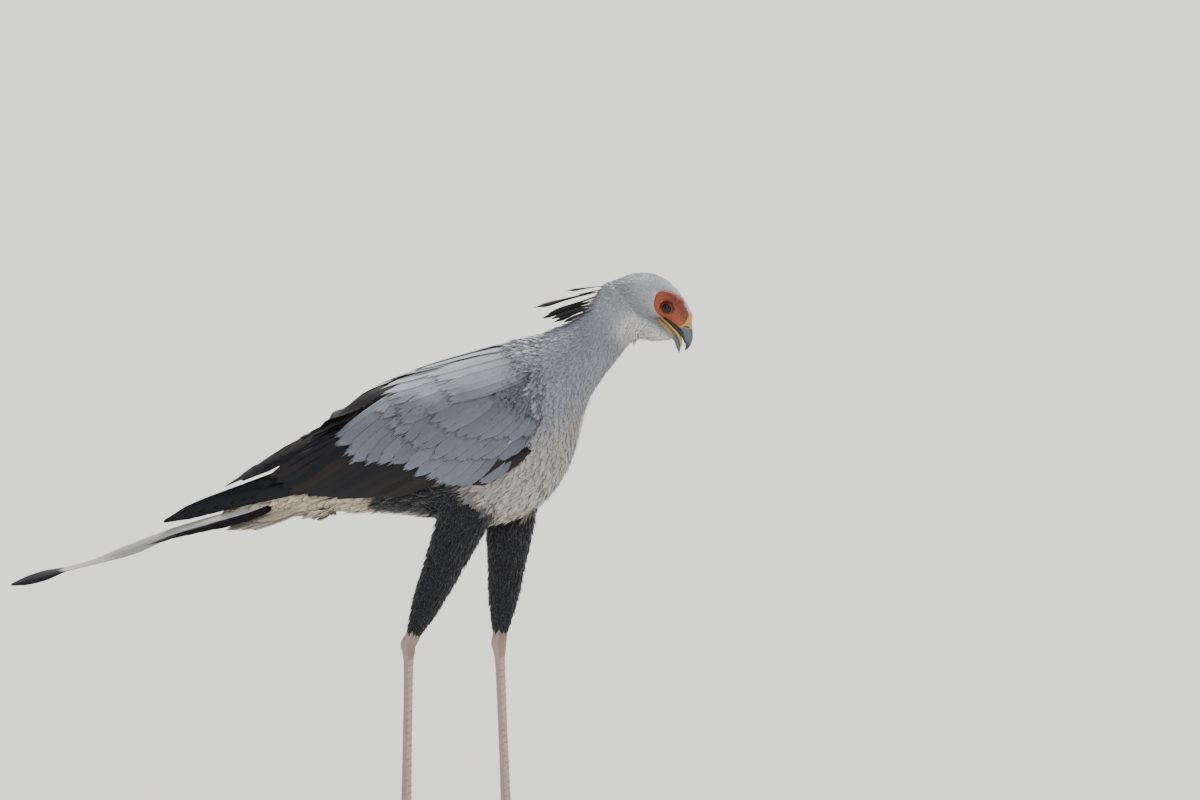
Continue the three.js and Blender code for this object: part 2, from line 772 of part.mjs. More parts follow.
const torso = behind(trunk, shoulderNormal, shoulderAt);
const neck = behind(trunk, napeNormal, napeAt - GAP).trimByPlane(shoulderNormal, shoulderAt + GAP);

// The head: skull, jaw and upper neck in one, with lids round the eyes.
function eyeBall(side, radius) {
  return solidOf(new THREE.SphereGeometry(radius, 12, 8)).transform(
    new THREE.Matrix4().makeTranslation(0, side * EYE.side, 0).elements,
  );
}
const LID = { reach: 8.9, thick: 2.2, side: 32.2 };
function lidRing(side) {
  const ring = new THREE.TorusGeometry(LID.reach, LID.thick, 4, 12);
  ring.rotateX(Math.PI / 2);
  ring.translate(0, side * LID.side, 0);
  return solidOf(ring);
}
function nostril(side) {
  const slit = new THREE.SphereGeometry(1, 8, 6);
  const { from, to } = NOSTRIL;
  const [dx, dz] = [to[0] - from[0], to[1] - from[1]];
  slit.scale(Math.hypot(dx, dz) / 2, NOSTRIL.deep, NOSTRIL.high);
  slit.rotateY(-Math.atan2(dz, dx));
  slit.translate((from[0] + to[0]) / 2, side * NOSTRIL.side, (from[1] + to[1]) / 2);
  return solidOf(slit);
}
const BILL_CUT = { x: 41, tilt: 12 };
const billNormal = [Math.cos(rad(BILL_CUT.tilt)), 0, Math.sin(rad(BILL_CUT.tilt))];
const billAt = BILL_CUT.x * billNormal[0];
const upperNeck = trunk.trimByPlane(napeNormal, napeAt);
const mouthLine = ovalBody(LOWER_BILL, 10, 2, GAP);
const skull = onHead(
  joined([
    behind(ovalBody(upright(SKULL), 14, 2), billNormal, billAt),
    ovalBody(upright(JAW), 12, 1),
    lidRing(LEFT),
    lidRing(RIGHT),
  ]).subtract(mouthLine),
);
const sockets = [LEFT, RIGHT].map((side) => onHead(eyeBall(side, EYE_SOCKET)));
const crest = joined(PLUMES.map(plume)).subtract(behind(trunkClear, napeNormal, napeAt));
const head = joined([upperNeck, skull.trimByPlane(napeNormal, napeAt), crest])
  .subtract(sockets[0])
  .subtract(sockets[1])
  .subtract(onHead(ovalBody(TONGUE, 8, 1, GAP)));

const upperBill = ovalBody(UPPER_BILL, 12, 2)
  .trimByPlane(billNormal, billAt + GAP)
  .subtract(nostril(LEFT))
  .subtract(nostril(RIGHT));
const lowerBill = ovalBody(LOWER_BILL, 10, 2);
const tongue = ovalBody(TONGUE, 8, 1).subtract(mouthLine);

// Materials, from the bird in neutral light.
const paint = (color, roughness, metalness = 0) =>
  new THREE.MeshStandardMaterial({ color, roughness, metalness });
const GREY_PLUMAGE = paint(0x9a9ca6, 0.85);
const WING_GREY = paint(0x7d828f, 0.8);
const BLACK_PLUMAGE = paint(0x17161a, 0.75);
const TAIL_PLUMAGE = paint(0xb9b3a8, 0.8);
const SHANK_SKIN = paint(0xc9a597, 0.6);
const CLAW_HORN = paint(0x2a2624, 0.45);
const BILL_HORN = paint(0x4a5060, 0.4);
const TONGUE_SKIN = paint(0xc7a85e, 0.5);
const EYE_GLOSS = paint(0x1a1210, 0.1);

const bird = new THREE.Group();
function put(name, solid, material) {
  const whole = largest(solid);
  const piece = new THREE.Mesh(surfaceOf(largest(solidOf(surfaceOf(whole)))), material);
  piece.name = name;
  bird.add(piece);
}

put("torso", torso, GREY_PLUMAGE);
put("neck", neck, GREY_PLUMAGE);
put("head", head, GREY_PLUMAGE);
put("bill_upper", onHead(upperBill), BILL_HORN);
put("bill_lower", onHead(lowerBill), BILL_HORN);
put("tongue", onHead(tongue), TONGUE_SKIN);
put("tail", tail().subtract(trunkClear), TAIL_PLUMAGE);
for (const [side, name] of SIDE_NAMES) {
  put(`eye_${name}`, onHead(eyeBall(side, EYE.radius)), EYE_GLOSS);
  put(`wing_${name}`, wing(side).subtract(trunkClear).subtract(tailClear), WING_GREY);
  put(`thigh_${name}`, thigh(side).subtract(trunkClear), BLACK_PLUMAGE);
  put(`shank_${name}`, shank(side), SHANK_SKIN);
  put(`foot_${name}`, foot(side), SHANK_SKIN);
  for (const toe of TOES) {
    put(`claw_${name}_${toe.name}`, claw(side, toe), CLAW_HORN);
  }
}

export default bird;
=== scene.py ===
import math
import bpy
import numpy as np
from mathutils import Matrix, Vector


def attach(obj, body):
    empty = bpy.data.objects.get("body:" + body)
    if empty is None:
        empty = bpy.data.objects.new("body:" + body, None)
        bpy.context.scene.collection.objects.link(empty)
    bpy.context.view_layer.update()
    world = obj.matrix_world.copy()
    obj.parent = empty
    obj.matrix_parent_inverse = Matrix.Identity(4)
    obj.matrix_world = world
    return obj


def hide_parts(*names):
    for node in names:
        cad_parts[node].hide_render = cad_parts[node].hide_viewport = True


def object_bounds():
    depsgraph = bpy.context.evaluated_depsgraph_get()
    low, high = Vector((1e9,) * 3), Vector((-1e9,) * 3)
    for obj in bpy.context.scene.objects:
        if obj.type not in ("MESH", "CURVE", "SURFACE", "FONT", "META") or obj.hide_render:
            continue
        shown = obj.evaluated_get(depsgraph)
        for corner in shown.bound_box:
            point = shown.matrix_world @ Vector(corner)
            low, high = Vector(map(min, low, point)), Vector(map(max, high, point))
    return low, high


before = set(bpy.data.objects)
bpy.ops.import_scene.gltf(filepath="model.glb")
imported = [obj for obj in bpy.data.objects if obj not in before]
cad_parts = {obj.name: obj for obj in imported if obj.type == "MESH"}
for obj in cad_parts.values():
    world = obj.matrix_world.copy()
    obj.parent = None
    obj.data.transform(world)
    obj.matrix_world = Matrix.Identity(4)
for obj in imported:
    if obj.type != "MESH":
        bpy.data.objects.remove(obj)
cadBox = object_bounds()
boxLow, boxHigh = (np.array(corner, float) for corner in cadBox)

# A secretary bird in mid step. Metres, the bird facing +X, its right side towards the camera at -Y.
mm = 0.001
dice = np.random.default_rng(41)
sideNames = {-1: "right", 1: "left"}
body = "root"
upwards = np.array([0, 0, 1.0])


# Number helpers

# Rows made finer by a Catmull-Rom curve through every column.
def fineRows(rows, steps):
    rows = np.array(rows, float)
    t = np.linspace(0, len(rows) - 1, (len(rows) - 1) * steps + 1)
    i = np.minimum(t.astype(int), len(rows) - 2)
    f = (t - i)[:, None]
    a, b, c, d = (rows[np.clip(i + k, 0, len(rows) - 1)] for k in (-1, 0, 1, 2))
    return b + 0.5 * f * (c - a + f * (2 * a - 5 * b + 4 * c - d + f * (3 * (b - c) + d - a)))


# Columns of a table read at x, where the first column rises.
def readAt(table, x, column):
    return np.interp(x, table[:, 0], table[:, column])


# Vectors made one long, and none where they have no length.
def unit(v):
    return v / np.maximum(np.linalg.norm(v, axis=-1, keepdims=True), 1e-12)


# Colours moved towards one colour: colours + (colour - colours) * mask.
def blendTo(colours, colour, mask):
    return colours + (np.array(colour) - colours) * mask[..., None]


# Even angles once round, from 0.
def fullTurn(count):
    return np.linspace(0, 2 * math.pi, count, endpoint=False)


# 0 below low, 1 above high, with a smooth cubic between.
def smooth(low, high, x):
    t = np.clip((x - low) / (high - low), 0, 1)
    return t * t * (3 - 2 * t)


# Cheap smooth noise from a few sines of different lengths and directions, from -1 to 1.
def ripple(points, size, seed):
    turns = np.random.default_rng(seed)
    total = np.zeros(points.shape[:-1])
    for k in range(6):
        way = unit(turns.normal(size=3)) * (1 + 0.5 * k) / size
        total += np.sin(points @ way * 2 * math.pi + turns.uniform(0, 6.3)) / (1 + 0.5 * k)
    return total / 3


# Distance of 2-D points from a closed outline, positive inside it.
def insideOutline(x, z, outline):
    outline = np.array(outline, float)
    nearest = np.full(x.shape, 1e9)
    crossings = np.zeros(x.shape, int)
    for (ax, az), (bx, bz) in zip(outline, np.roll(outline, -1, axis=0)):
        t = np.clip(((x - ax) * (bx - ax) + (z - az) * (bz - az)) / ((bx - ax) ** 2 + (bz - az) ** 2), 0, 1)
        nearest = np.minimum(nearest, np.hypot(x - ax - t * (bx - ax), z - az - t * (bz - az)))
        above = (az > z) != (bz > z)
        crossings += above & (x < ax + (z - az) * (bx - ax) / (bz - az if bz != az else 1e-9))
    return np.where(crossings % 2 == 1, nearest, -nearest)


# Mesh helpers

def putInScene(name, data):
    thing = bpy.data.objects.new(name, data)
    bpy.context.scene.collection.objects.link(thing)
    return thing


# A mesh object from points and a list of face arrays, with named UV maps and colours given per point.
def addPiece(name, points, faceSets, paint, replaces=(), tint=None, uvs=None):
    points = np.clip(points.reshape(-1, 3), boxLow, boxHigh)  # no tip reaches past the solids
    points = np.ascontiguousarray(points, dtype=np.float32)
    mesh = bpy.data.meshes.new(name)
    mesh.vertices.add(len(points))
    mesh.vertices.foreach_set("co", points.ravel())
    corners = np.concatenate([f.ravel() for f in faceSets]).astype(np.int32)
    sizes = np.concatenate([np.full(len(f), f.shape[1]) for f in faceSets])
    starts = np.concatenate([[0], np.cumsum(sizes)[:-1]]).astype(np.int32)
    mesh.loops.add(len(corners))
    mesh.loops.foreach_set("vertex_index", corners)
    mesh.polygons.add(len(sizes))
    mesh.polygons.foreach_set("loop_start", starts)
    mesh.polygons.foreach_set("use_smooth", np.ones(len(sizes), bool))
    mesh.update(calc_edges=True)
    for uvName, uv in (uvs or {}).items():
        layer = mesh.uv_layers.new(name=uvName)
        layer.data.foreach_set("uv", uv.reshape(-1, 2)[corners].astype(np.float32).ravel())
    if tint is not None:
        colours = np.ones((len(points), 4), np.float32)
        colours[:, :3] = tint.reshape(-1, 3)
        mesh.color_attributes.new("tint", "FLOAT_COLOR", "POINT").data.foreach_set("color", colours.ravel())
    piece = putInScene(name, mesh)
    mesh.materials.append(paints[paint])
    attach(piece, body)
    if replaces:
        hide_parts(*replaces)
    return piece


# Quads over a grid of rows and columns, closed round its columns where wrap is true.
def gridQuads(rows, cols, wrap=False):
    r, c = np.meshgrid(np.arange(rows - 1), np.arange(cols if wrap else cols - 1), indexing="ij")
    n = (c + 1) % cols
    return np.stack([r * cols + c, r * cols + n, (r + 1) * cols + n, (r + 1) * cols + c], -1).reshape(-1, 4)


# A closed skin over rings: the rings' grid, and a fan of triangles to a middle point at each end.
def closedLoft(rings):
    rows, cols = rings.shape[:2]
    points = np.concatenate([rings.reshape(-1, 3), rings[:1].mean(1), rings[-1:].mean(1)])
    k = np.arange(cols)
    first, last = rows * cols, (rows - 1) * cols
    fans = [
        np.stack([(k + 1) % cols, k, np.full(cols, first)], -1),
        np.stack([last + k, last + (k + 1) % cols, np.full(cols, first + 1)], -1),
    ]
    return outward(points, [gridQuads(rows, cols, True), *fans])


# Faces turned round where the solid they close has a negative volume.
def outward(points, faceSets):
    a, b, c = (points[faceSets[0][:, k]] for k in (0, 1, 2))
    d = points[faceSets[0][:, 3]] if faceSets[0].shape[1] == 4 else c
    volume = (a * np.cross(b, c)).sum() + (a * np.cross(c, d)).sum()
    return points, faceSets if volume > 0 else [f[:, ::-1] for f in faceSets]


# A closed loft as a piece, its two end points tinted like the first point of the ring beside them.
def addLoft(name, rings, paint, replaces=(), tint=None):
    points, faces = closedLoft(rings)
    if tint is not None:
        tint = np.concatenate([tint.reshape(-1, 3), tint[0, :1], tint[-1, :1]])
    addPiece(name, points, faces, paint, replaces, tint)


# Rings in upright planes: an ellipse through a point above and a point below, with a half width.
# inset draws it in all round, roof above 0 sharpens its top.
def ovalRings(rows, cols, inset=0.0, roof=0.0):
    rows = np.asarray(rows)
    top, low, half = rows[:, 0:2], rows[:, 2:4], rows[:, 4]
    angle = fullTurn(cols)
    rise, wide = np.cos(angle), np.sin(angle)
    wide = wide * (1 - roof * smooth(0.2, 1, rise))
    middle, reach = (top + low) / 2, (top - low) / 2
    long = np.linalg.norm(reach, axis=1, keepdims=True)
    reach = reach * np.maximum(long - np.reshape(inset, (-1, 1)), 0.2 * long) / long
    half = np.maximum(half - inset, 0.2 * half)
    flat = middle[:, None, :] + reach[:, None, :] * rise[None, :, None]
    return np.stack([flat[..., 0], half[:, None] * wide[None, :], flat[..., 1]], -1)


# Rings round a line of points, each with its own depth and width, kept level across the bird.
def limbRings(line, deep, wide, cols):
    ahead = unit(np.gradient(line, axis=0))
    across = unit(np.array([0, 1.0, 0]) - ahead * ahead[:, 1:2])
    front = unit(np.cross(across, ahead))
    angle = fullTurn(cols)
    return (
        line[:, None]
        + front[:, None] * (deep[:, None] * np.cos(angle))[..., None]
        + across[:, None] * (wide[:, None] * np.sin(angle))[..., None]
    )


# Points settled on a surface and its normals there, by two passes of a shrinkwrap on a throwaway mesh.
def settle(points, surface):
    flat = points.reshape(-1, 3)
    mesh = bpy.data.meshes.new("settling")
    mesh.vertices.add(len(flat))
    mesh.vertices.foreach_set("co", flat.astype(np.float32).ravel())
    probe = putInScene("settling", mesh)
    wrap = probe.modifiers.new("wrap", "SHRINKWRAP")
    wrap.target = surface
    wrap.wrap_mode = "ABOVE_SURFACE"
    found = []
    for lift in (0.0, 0.01):
        wrap.offset = lift
        bpy.context.view_layer.update()
        settled = probe.evaluated_get(bpy.context.evaluated_depsgraph_get()).data
        out = np.empty(len(flat) * 3, np.float32)
        settled.vertices.foreach_get("co", out)
        found.append(out.reshape(points.shape).astype(float))
    bpy.data.objects.remove(probe)
    bpy.data.meshes.remove(mesh)
    return found[0], unit(found[1] - found[0])


# Materials

# A socket whose operators add Math nodes, so that shader values are written as plain expressions.
class Value:
    def __init__(self, paint, socket):
        self.paint, self.socket = paint, socket

    def math(self, operation, *others):
        inputs = dict(enumerate([self, *others]))
        return self.paint.node("ShaderNodeMath", {"operation": operation}, inputs)

    def __add__(self, other):
        return self.math("ADD", other)

    def __sub__(self, other):
        return self.math("SUBTRACT", other)

    def __mul__(self, other):
        return self.math("MULTIPLY", other)

    def __rsub__(self, other):
        return self.paint.node("ShaderNodeMath", {"operation": "SUBTRACT"}, {0: other, 1: self})

    __radd__, __rmul__ = __add__, __mul__

    def ramp(self, low, high):
        ends = {"Value": self, "From Min": low, "From Max": high}
        return self.paint.node("ShaderNodeMapRange", {"interpolation_type": "SMOOTHSTEP"}, ends)


# A material being painted: its nodes, and the finished shader.
class Paint:
    def __init__(self, name):
        self.material = bpy.data.materials.new(name)
        self.material.use_nodes = True
        self.tree = self.material.node_tree
        self.shader = self.tree.nodes["Principled BSDF"]
        self.material.diffuse_color = (0.5, 0.5, 0.5, 1)

    def node(self, kind, settings=None, inputs=None, output=0):
        made = self.tree.nodes.new(kind)
        for key, value in (settings or {}).items():
            setattr(made, key, value)
        for key, value in (inputs or {}).items():
            if isinstance(value, Value):
                self.tree.links.new(value.socket, made.inputs[key])
            else:
                made.inputs[key].default_value = value
        return Value(self, made.outputs[output])

    def colourMix(self, factor, a, b, blend="MIX"):
        settings = {"data_type": "RGBA", "blend_type": blend}
        ends = {0: factor, 6: a, 7: b}
        return self.node("ShaderNodeMix", settings, ends, 2)

    def place(self):
        return self.node("ShaderNodeTexCoord", None, None, 3)

    def tint(self):
        return self.node("ShaderNodeAttribute", {"attribute_name": "tint"})

    # The piece's own tint times a grey shade.
    def shaded(self, shade):
        grey = self.node("ShaderNodeCombineColor", None, {0: shade, 1: shade, 2: shade})
        return self.colourMix(1.0, self.tint(), grey, "MULTIPLY")

    def parts(self, vector):
        split = self.node("ShaderNodeSeparateXYZ", None, {0: vector}).socket.node
        return [Value(self, socket) for socket in split.outputs]

    def noise(self, scale, detail):
        inputs = {"Vector": self.place(), "Scale": scale, "Detail": detail}
        return self.node("ShaderNodeTexNoise", None, inputs)

    def cells(self, scale):
        inputs = {"Vector": self.place(), "Scale": scale}
        return self.node("ShaderNodeTexVoronoi", {"feature": "DISTANCE_TO_EDGE"}, inputs)

    def finish(self, constants=None, links=None, bump=None, depth=0.0005, strength=0.6):
        for key, value in (constants or {}).items():
            self.shader.inputs[key].default_value = value
        for key, value in (links or {}).items():
            self.tree.links.new(value.socket, self.shader.inputs[key])
        if bump:
            inputs = {"Height": bump, "Distance": depth, "Strength": strength}
            raised = self.node("ShaderNodeBump", None, inputs)
            self.tree.links.new(raised.socket, self.shader.inputs["Normal"])
        return self.material


def rgb(red, green, blue):
    return (red, green, blue, 1.0)


# Feathers: the tint of each, barbs slanting from the shaft in the vane's own UV map, paler along the vane's
# edges and tip.
def featherPaint(name, barbs, edgeLight, gloss, shaft, softness):
    paint = Paint(name)
    across, along, _ = paint.parts(paint.node("ShaderNodeUVMap", {"uv_map": "vane"}))
    away = (across - 0.5).math("ABSOLUTE") * 2
    barb = ((along * barbs + away * (barbs * -0.22)) * 6.2832).math("SINE")
    clumps, streak = paint.noise(160.0, 4.0), paint.noise(35.0, 2.0)
    edge = away.ramp(0.72, 1.0) + along.ramp(0.86, 1.0)
    shaftLine = 1 - away.ramp(0.02, 0.07)
    shade = barb * 0.07 + clumps * 0.3 + edge * edgeLight - shaftLine * shaft + (0.68 + 0.22 * streak)
    height = barb * 0.5 + clumps * 0.6 + shaftLine * 0.8
    constants = {"Specular IOR Level": 0.22, "Sheen Weight": softness, "Sheen Roughness": 0.5}
    links = {"Base Color": paint.shaded(shade), "Roughness": clumps * 0.2 + gloss}
    return paint.finish(constants, links, height, 0.0004, 0.5)


def skinPaint(name):
    paint = Paint(name)
    pores = paint.noise(900.0, 4.0)
    shade = paint.noise(120.0, 3.0) * 0.5 + 0.75
    constants = {"Specular IOR Level": 0.4, "Subsurface Weight": 0.08, "Subsurface Scale": 0.003}
    links = {"Base Color": paint.shaded(shade), "Roughness": pores * 0.2 + 0.5}
    return paint.finish(constants, links, pores, 0.0003, 0.5)


# Bare facial skin: wrinkled orange, redder in the folds, with fine grain.
def facePaint():
    paint = Paint("face_skin")
    grain = paint.cells(420.0).ramp(0.0, 0.35)
    blotch = paint.noise(170.0, 3.0).ramp(0.35, 0.7)
    colour = paint.colourMix(blotch * 0.45, paint.tint(), rgb(0.50, 0.09, 0.03))
    colour = paint.colourMix((1 - grain) * 0.35, colour, rgb(0.22, 0.035, 0.015))
    height = grain + paint.noise(1500.0, 3.0) * 0.4
    constants = {"Specular IOR Level": 0.45, "Subsurface Weight": 0.15, "Subsurface Scale": 0.002}
    links = {"Base Color": colour, "Roughness": 0.62 - grain * 0.16}
    return paint.finish(constants, links, height, 0.00045, 0.8)


# Horn: growth lines along the piece, a tint given per point, a satin gloss.
def hornPaint(name, gloss, streakScale):
    paint = Paint(name)
    lines = paint.noise(streakScale, 5.0)
    shade = lines * 0.35 + paint.noise(90.0, 2.0) * 0.25 + 0.7
    links = {"Base Color": paint.shaded(shade), "Roughness": lines * 0.25 + gloss}
    return paint.finish({"Specular IOR Level": 0.5}, links, lines, 0.00025, 0.4)


# Leg skin: the tint of each scute with its painted shade in the grooves, and fine cracks.
def legPaint():
    paint = Paint("leg_scutes")
    plates = paint.cells(300.0).ramp(0.0, 0.10)
    dust = paint.noise(500.0, 3.0)
    colour = paint.colourMix((1 - plates) * 0.16, paint.tint(), rgb(0.16, 0.09, 0.065))
    colour = paint.colourMix(dust.ramp(0.5, 0.8) * 0.2, colour, rgb(0.66, 0.50, 0.43))
    links = {"Base Color": colour, "Roughness": dust * 0.25 + 0.42}
    return paint.finish({"Specular IOR Level": 0.4}, links, plates * 0.35 + dust * 0.2, 0.0003, 0.5)


# The eye: a black pupil in a dark brown iris, black again at its rim, under a wet clear coat.
def eyePaint(cx, cz):
    paint = Paint("eye")
    x, _, z = paint.parts(paint.place())
    away = ((x - cx) * (x - cx) + (z - cz) * (z - cz)).math("SQRT")
    iris = paint.colourMix(paint.noise(900.0, 2.0), rgb(0.012, 0.005, 0.003), rgb(0.045, 0.018, 0.008))
    colour = paint.colourMix(1 - away.ramp(0.0042, 0.0048), iris, rgb(0.002, 0.002, 0.002))
    colour = paint.colourMix(away.ramp(0.0072, 0.0084), colour, rgb(0.006, 0.004, 0.003))
    constants = {"Roughness": 0.3, "Specular IOR Level": 0.1, "Coat Weight": 0.7, "Coat Roughness": 0.03,
                 "Coat IOR": 1.4}
    return paint.finish(constants, {"Base Color": colour})


def plainPaint(name, colour, rough):
    paint = Paint(name)
    grain = paint.noise(300.0, 4.0)
    mixed = paint.colourMix(grain * 0.35, colour, rgb(*(0.55 * v for v in colour[:3])))
    return paint.finish(None, {"Base Color": mixed, "Roughness": grain * 0.2 + rough}, grain, 0.0002, 0.4)


paints = {
    "skin": skinPaint("skin_under_feathers"),
    "body": featherPaint("body_feathers", 9.0, 0.10, 0.62, 0.0, 0.25),
    "covert": featherPaint("wing_coverts", 34.0, 0.10, 0.62, 0.06, 0.1),
    "flight": featherPaint("flight_feathers", 60.0, 0.10, 0.52, 0.12, 0.0),
    "crest": featherPaint("crest_plumes", 30.0, 0.25, 0.5, 0.15, 0.05),
    "face": facePaint(),
    "bill": hornPaint("bill_horn", 0.22, 260.0),
    "claw": hornPaint("claw_horn", 0.25, 400.0),
    "leg": legPaint(),
    "lash": plainPaint("lashes", rgb(0.01, 0.009, 0.008), 0.4),
    # Near black: painted shade along the gape under the upper bill.
    "gapeShade": plainPaint("bill_edge_shade", rgb(0.045, 0.032, 0.028), 0.4),
    "tongue": plainPaint("mouth_lining", rgb(0.52, 0.42, 0.16), 0.3),
}
print("materials painted")


# Shapes shared by skin and coat. Rows as in the frame: point above, point below, half width.

trunk = {
    "rows": [
        [-100, 622, -100, 540, 34], [-55, 652, -55, 541, 46], [6, 710, 6, 537, 61],
        [70, 743, 72, 535, 75], [130, 772, 134, 527, 85], [190, 792, 196, 512, 91],
        [240, 809, 257, 517, 92], [285, 824, 320, 548, 88], [322, 840, 362, 602, 79],
        [350, 853, 383, 660, 68], [372, 862, 395, 710, 57], [390, 873, 412, 745, 49],
        [410, 897, 452, 798, 39.5], [427, 924, 488, 842, 35], [446, 934, 502, 862, 31],
    ],
    "coat": 6.0 * mm,  # how far the skin lies below the plumage on the body
    "neckCoat": 3.6 * mm,
}
tailRoot = {
    "rows": [
        [-40, 646, 532, 44], [-60, 636, 529, 40], [-100, 614, 532, 31], [-140, 590, 534, 24],
        [-180, 566, 528, 18], [-212, 548, 526, 9],
    ],
    "coat": 3.5 * mm,
}
head = {
    "eye": (535 * mm, 886 * mm),
    "pitch": math.radians(42),
    "skull": [
        [-92, -18, -58, 15], [-80, 4, -62, 27], [-60, 25, -62, 34.5], [-34, 35, -56, 36.5],
        [-12, 36, -36, 34.5], [8, 33, -17, 29.5], [24, 28.5, -14.5, 23.5], [36, 23, -14.2, 18],
        [46, 14, -15, 13.5],
    ],
    "jaw": [
        [-52, -34, -76, 20], [-25, -20, -76, 28], [0, -20, -68, 28], [12, -20.4, -64, 25],
        [24, -21, -56, 20], [36, -22, -45, 14.5], [45, -24, -37, 10],
    ],
    "coat": 2.0 * mm,
    "jawCoat": 4.5 * mm,
    "face": [
        (-27, 12), (-21, 20), (-12, 25), (2, 27.5), (14, 26.5), (28, 21), (39, 15), (43, 6), (42.5, -8),
        (38, -13.5), (24, -14.5), (6, -15), (-8, -15.5), (-17, -11), (-23, -4), (-27, 4),
    ],
}
legs = {
    -1: {"knee": (214, 46, 584), "heel": (97, 42, 314), "foot": (92, 44), "turn": -6},
    1: {"knee": (276, 46, 590), "heel": (250, 42, 310), "foot": (262, 44), "turn": 6},
}
thigh = {  # share of knee to heel, depth, width
    "rows": [[-0.1, 40, 28], [0.08, 46, 33], [0.3, 41, 31], [0.52, 33, 26], [0.74, 26, 21], [0.9, 17, 14.5],
             [1.0, 12.5, 11]],
    "coat": 5.0 * mm,
}
wing = {
    "envelope": [
        [-350, 508, 492, 15], [-321, 526, 498, 20], [-260, 562, 512, 27], [-221, 583, 518, 32],
        [-156, 624, 528, 41], [-108, 650, 533, 50], [-55, 680, 530, 62], [6, 732, 524, 77],
        [63, 758, 521, 90], [130, 784, 514, 100], [215, 811, 502, 105], [286, 834, 522, 101],
        [340, 850, 566, 86], [380, 862, 650, 64],
    ],
    "lowerEdge": [
        [-67, 601], [-32, 590], [41, 606], [97, 604], [137, 592], [215, 598], [286, 640], [334, 712],
    ],
    "rear": -67,
    "front": 334,
    "topAngle": math.radians(6),
}


# Rows of a section that stands upright, x, top, bottom and half width, in the form ovalRings reads.
def upright(rows):
    return np.stack([rows[:, 0], rows[:, 1], rows[:, 0], rows[:, 2], rows[:, 3]], -1)


# The head's frame, eye level at its origin, set on the bird: turned bill down, then moved to the eye.
def onHead(points):
    c, s = math.cos(head["pitch"]), math.sin(head["pitch"])
    x, y, z = points[..., 0], points[..., 1], points[..., 2]
    ex, ez = head["eye"]
    return np.stack([ex + c * x + s * z, y, ez - s * x + c * z], -1)


# The other way: a place on the bird in the head's frame.
def inHead(points):
    c, s = math.cos(head["pitch"]), math.sin(head["pitch"])
    ex, ez = head["eye"]
    x, z = points[..., 0] - ex, points[..., 2] - ez
    return np.stack([c * x - s * z, points[..., 1], s * x + c * z], -1)


# The wing's envelope as upright ellipses: x, the angle down from the back, the lift off it, the side.
envelope = fineRows(np.array(wing["envelope"]) * mm, 30)


def onEnvelope(x, angle, lift, side):
    top, low, half = (readAt(envelope, x, k) for k in (1, 2, 3))
    high = (top - low) / 2
    out, up = np.sin(angle), np.cos(angle)
    normal = unit(np.stack([out / half, up / high], -1))
    y = side * (half * out + normal[..., 0] * lift)
    return np.stack([x + 0 * y, y, (top + low) / 2 + high * up + normal[..., 1] * lift], -1)


# The angle down from the back at a height: cos(angle) = (z - middle) / half the height there.
def angleAt(x, z):
    top, low = readAt(envelope, x, 1), readAt(envelope, x, 2)
    return np.arccos(np.clip((2 * z - top - low) / (top - low), -1, 1))


# The front of each closed wing as a plate on the envelope, a grid from its top edge to its lower edge.
def wingPlate(side, rows, cols, outer, inner):
    lower = np.array(wing["lowerEdge"]) * mm
    x = np.linspace(wing["rear"] * mm, wing["front"] * mm, rows)[:, None]
    down = np.linspace(0, 1, cols)[None, :]
    low = angleAt(x, readAt(lower, x, 1))
    angle = wing["topAngle"] + (low - wing["topAngle"]) * down
    nearFront = np.maximum(0, (x - 0.264) / 0.07) ** 2
    nearRear = np.clip((0.15 - x) / 0.19, 0, 1)
    edge = (9 + 7 * nearRear) * mm * np.maximum(0, (down - 0.7) / 0.3) ** 2
    lift = -outer - (10 * nearRear + 10 * nearFront) * mm - edge
    return [onEnvelope(x + 0 * down, angle, v, side) for v in (lift, -inner - 9 * mm * nearFront + 0 * lift)]


# One skin under the whole coat, from closed lofts joined by a voxel remesh and smoothed.

skinLook = {"voxel": 3.6 * mm, "smoothing": 4}


def trunkRings(steps, cols):
    rows = fineRows(np.array(trunk["rows"]) * mm, steps)
    inset = trunk["coat"] + (trunk["neckCoat"] - trunk["coat"]) * smooth(0.33, 0.43, rows[:, 0])
    return ovalRings(rows, cols, inset)


def tailRings(steps, cols):
    return ovalRings(upright(fineRows(np.array(tailRoot["rows"]) * mm, steps)), cols, tailRoot["coat"])


def headRings(part, coat, steps, cols):
    return onHead(ovalRings(fineRows(upright(np.array(head[part]) * mm), steps), cols, head[coat]))


def joint(side, name):
    return np.array(legs[side][name], float) * (1, side, 1)


# The thigh between two shares of the way from knee to heel, drawn in by its coat.
def thighRings(side, first, last, cols):
    knee, heel = joint(side, "knee") * mm, joint(side, "heel") * mm
    rows = fineRows(thigh["rows"], 6)
    t = np.linspace(first, last, 60)
    deep, wide = (readAt(rows, t, k) * mm - thigh["coat"] for k in (1, 2))
    return limbRings(knee + (heel - knee) * t[:, None], deep, wide, cols)


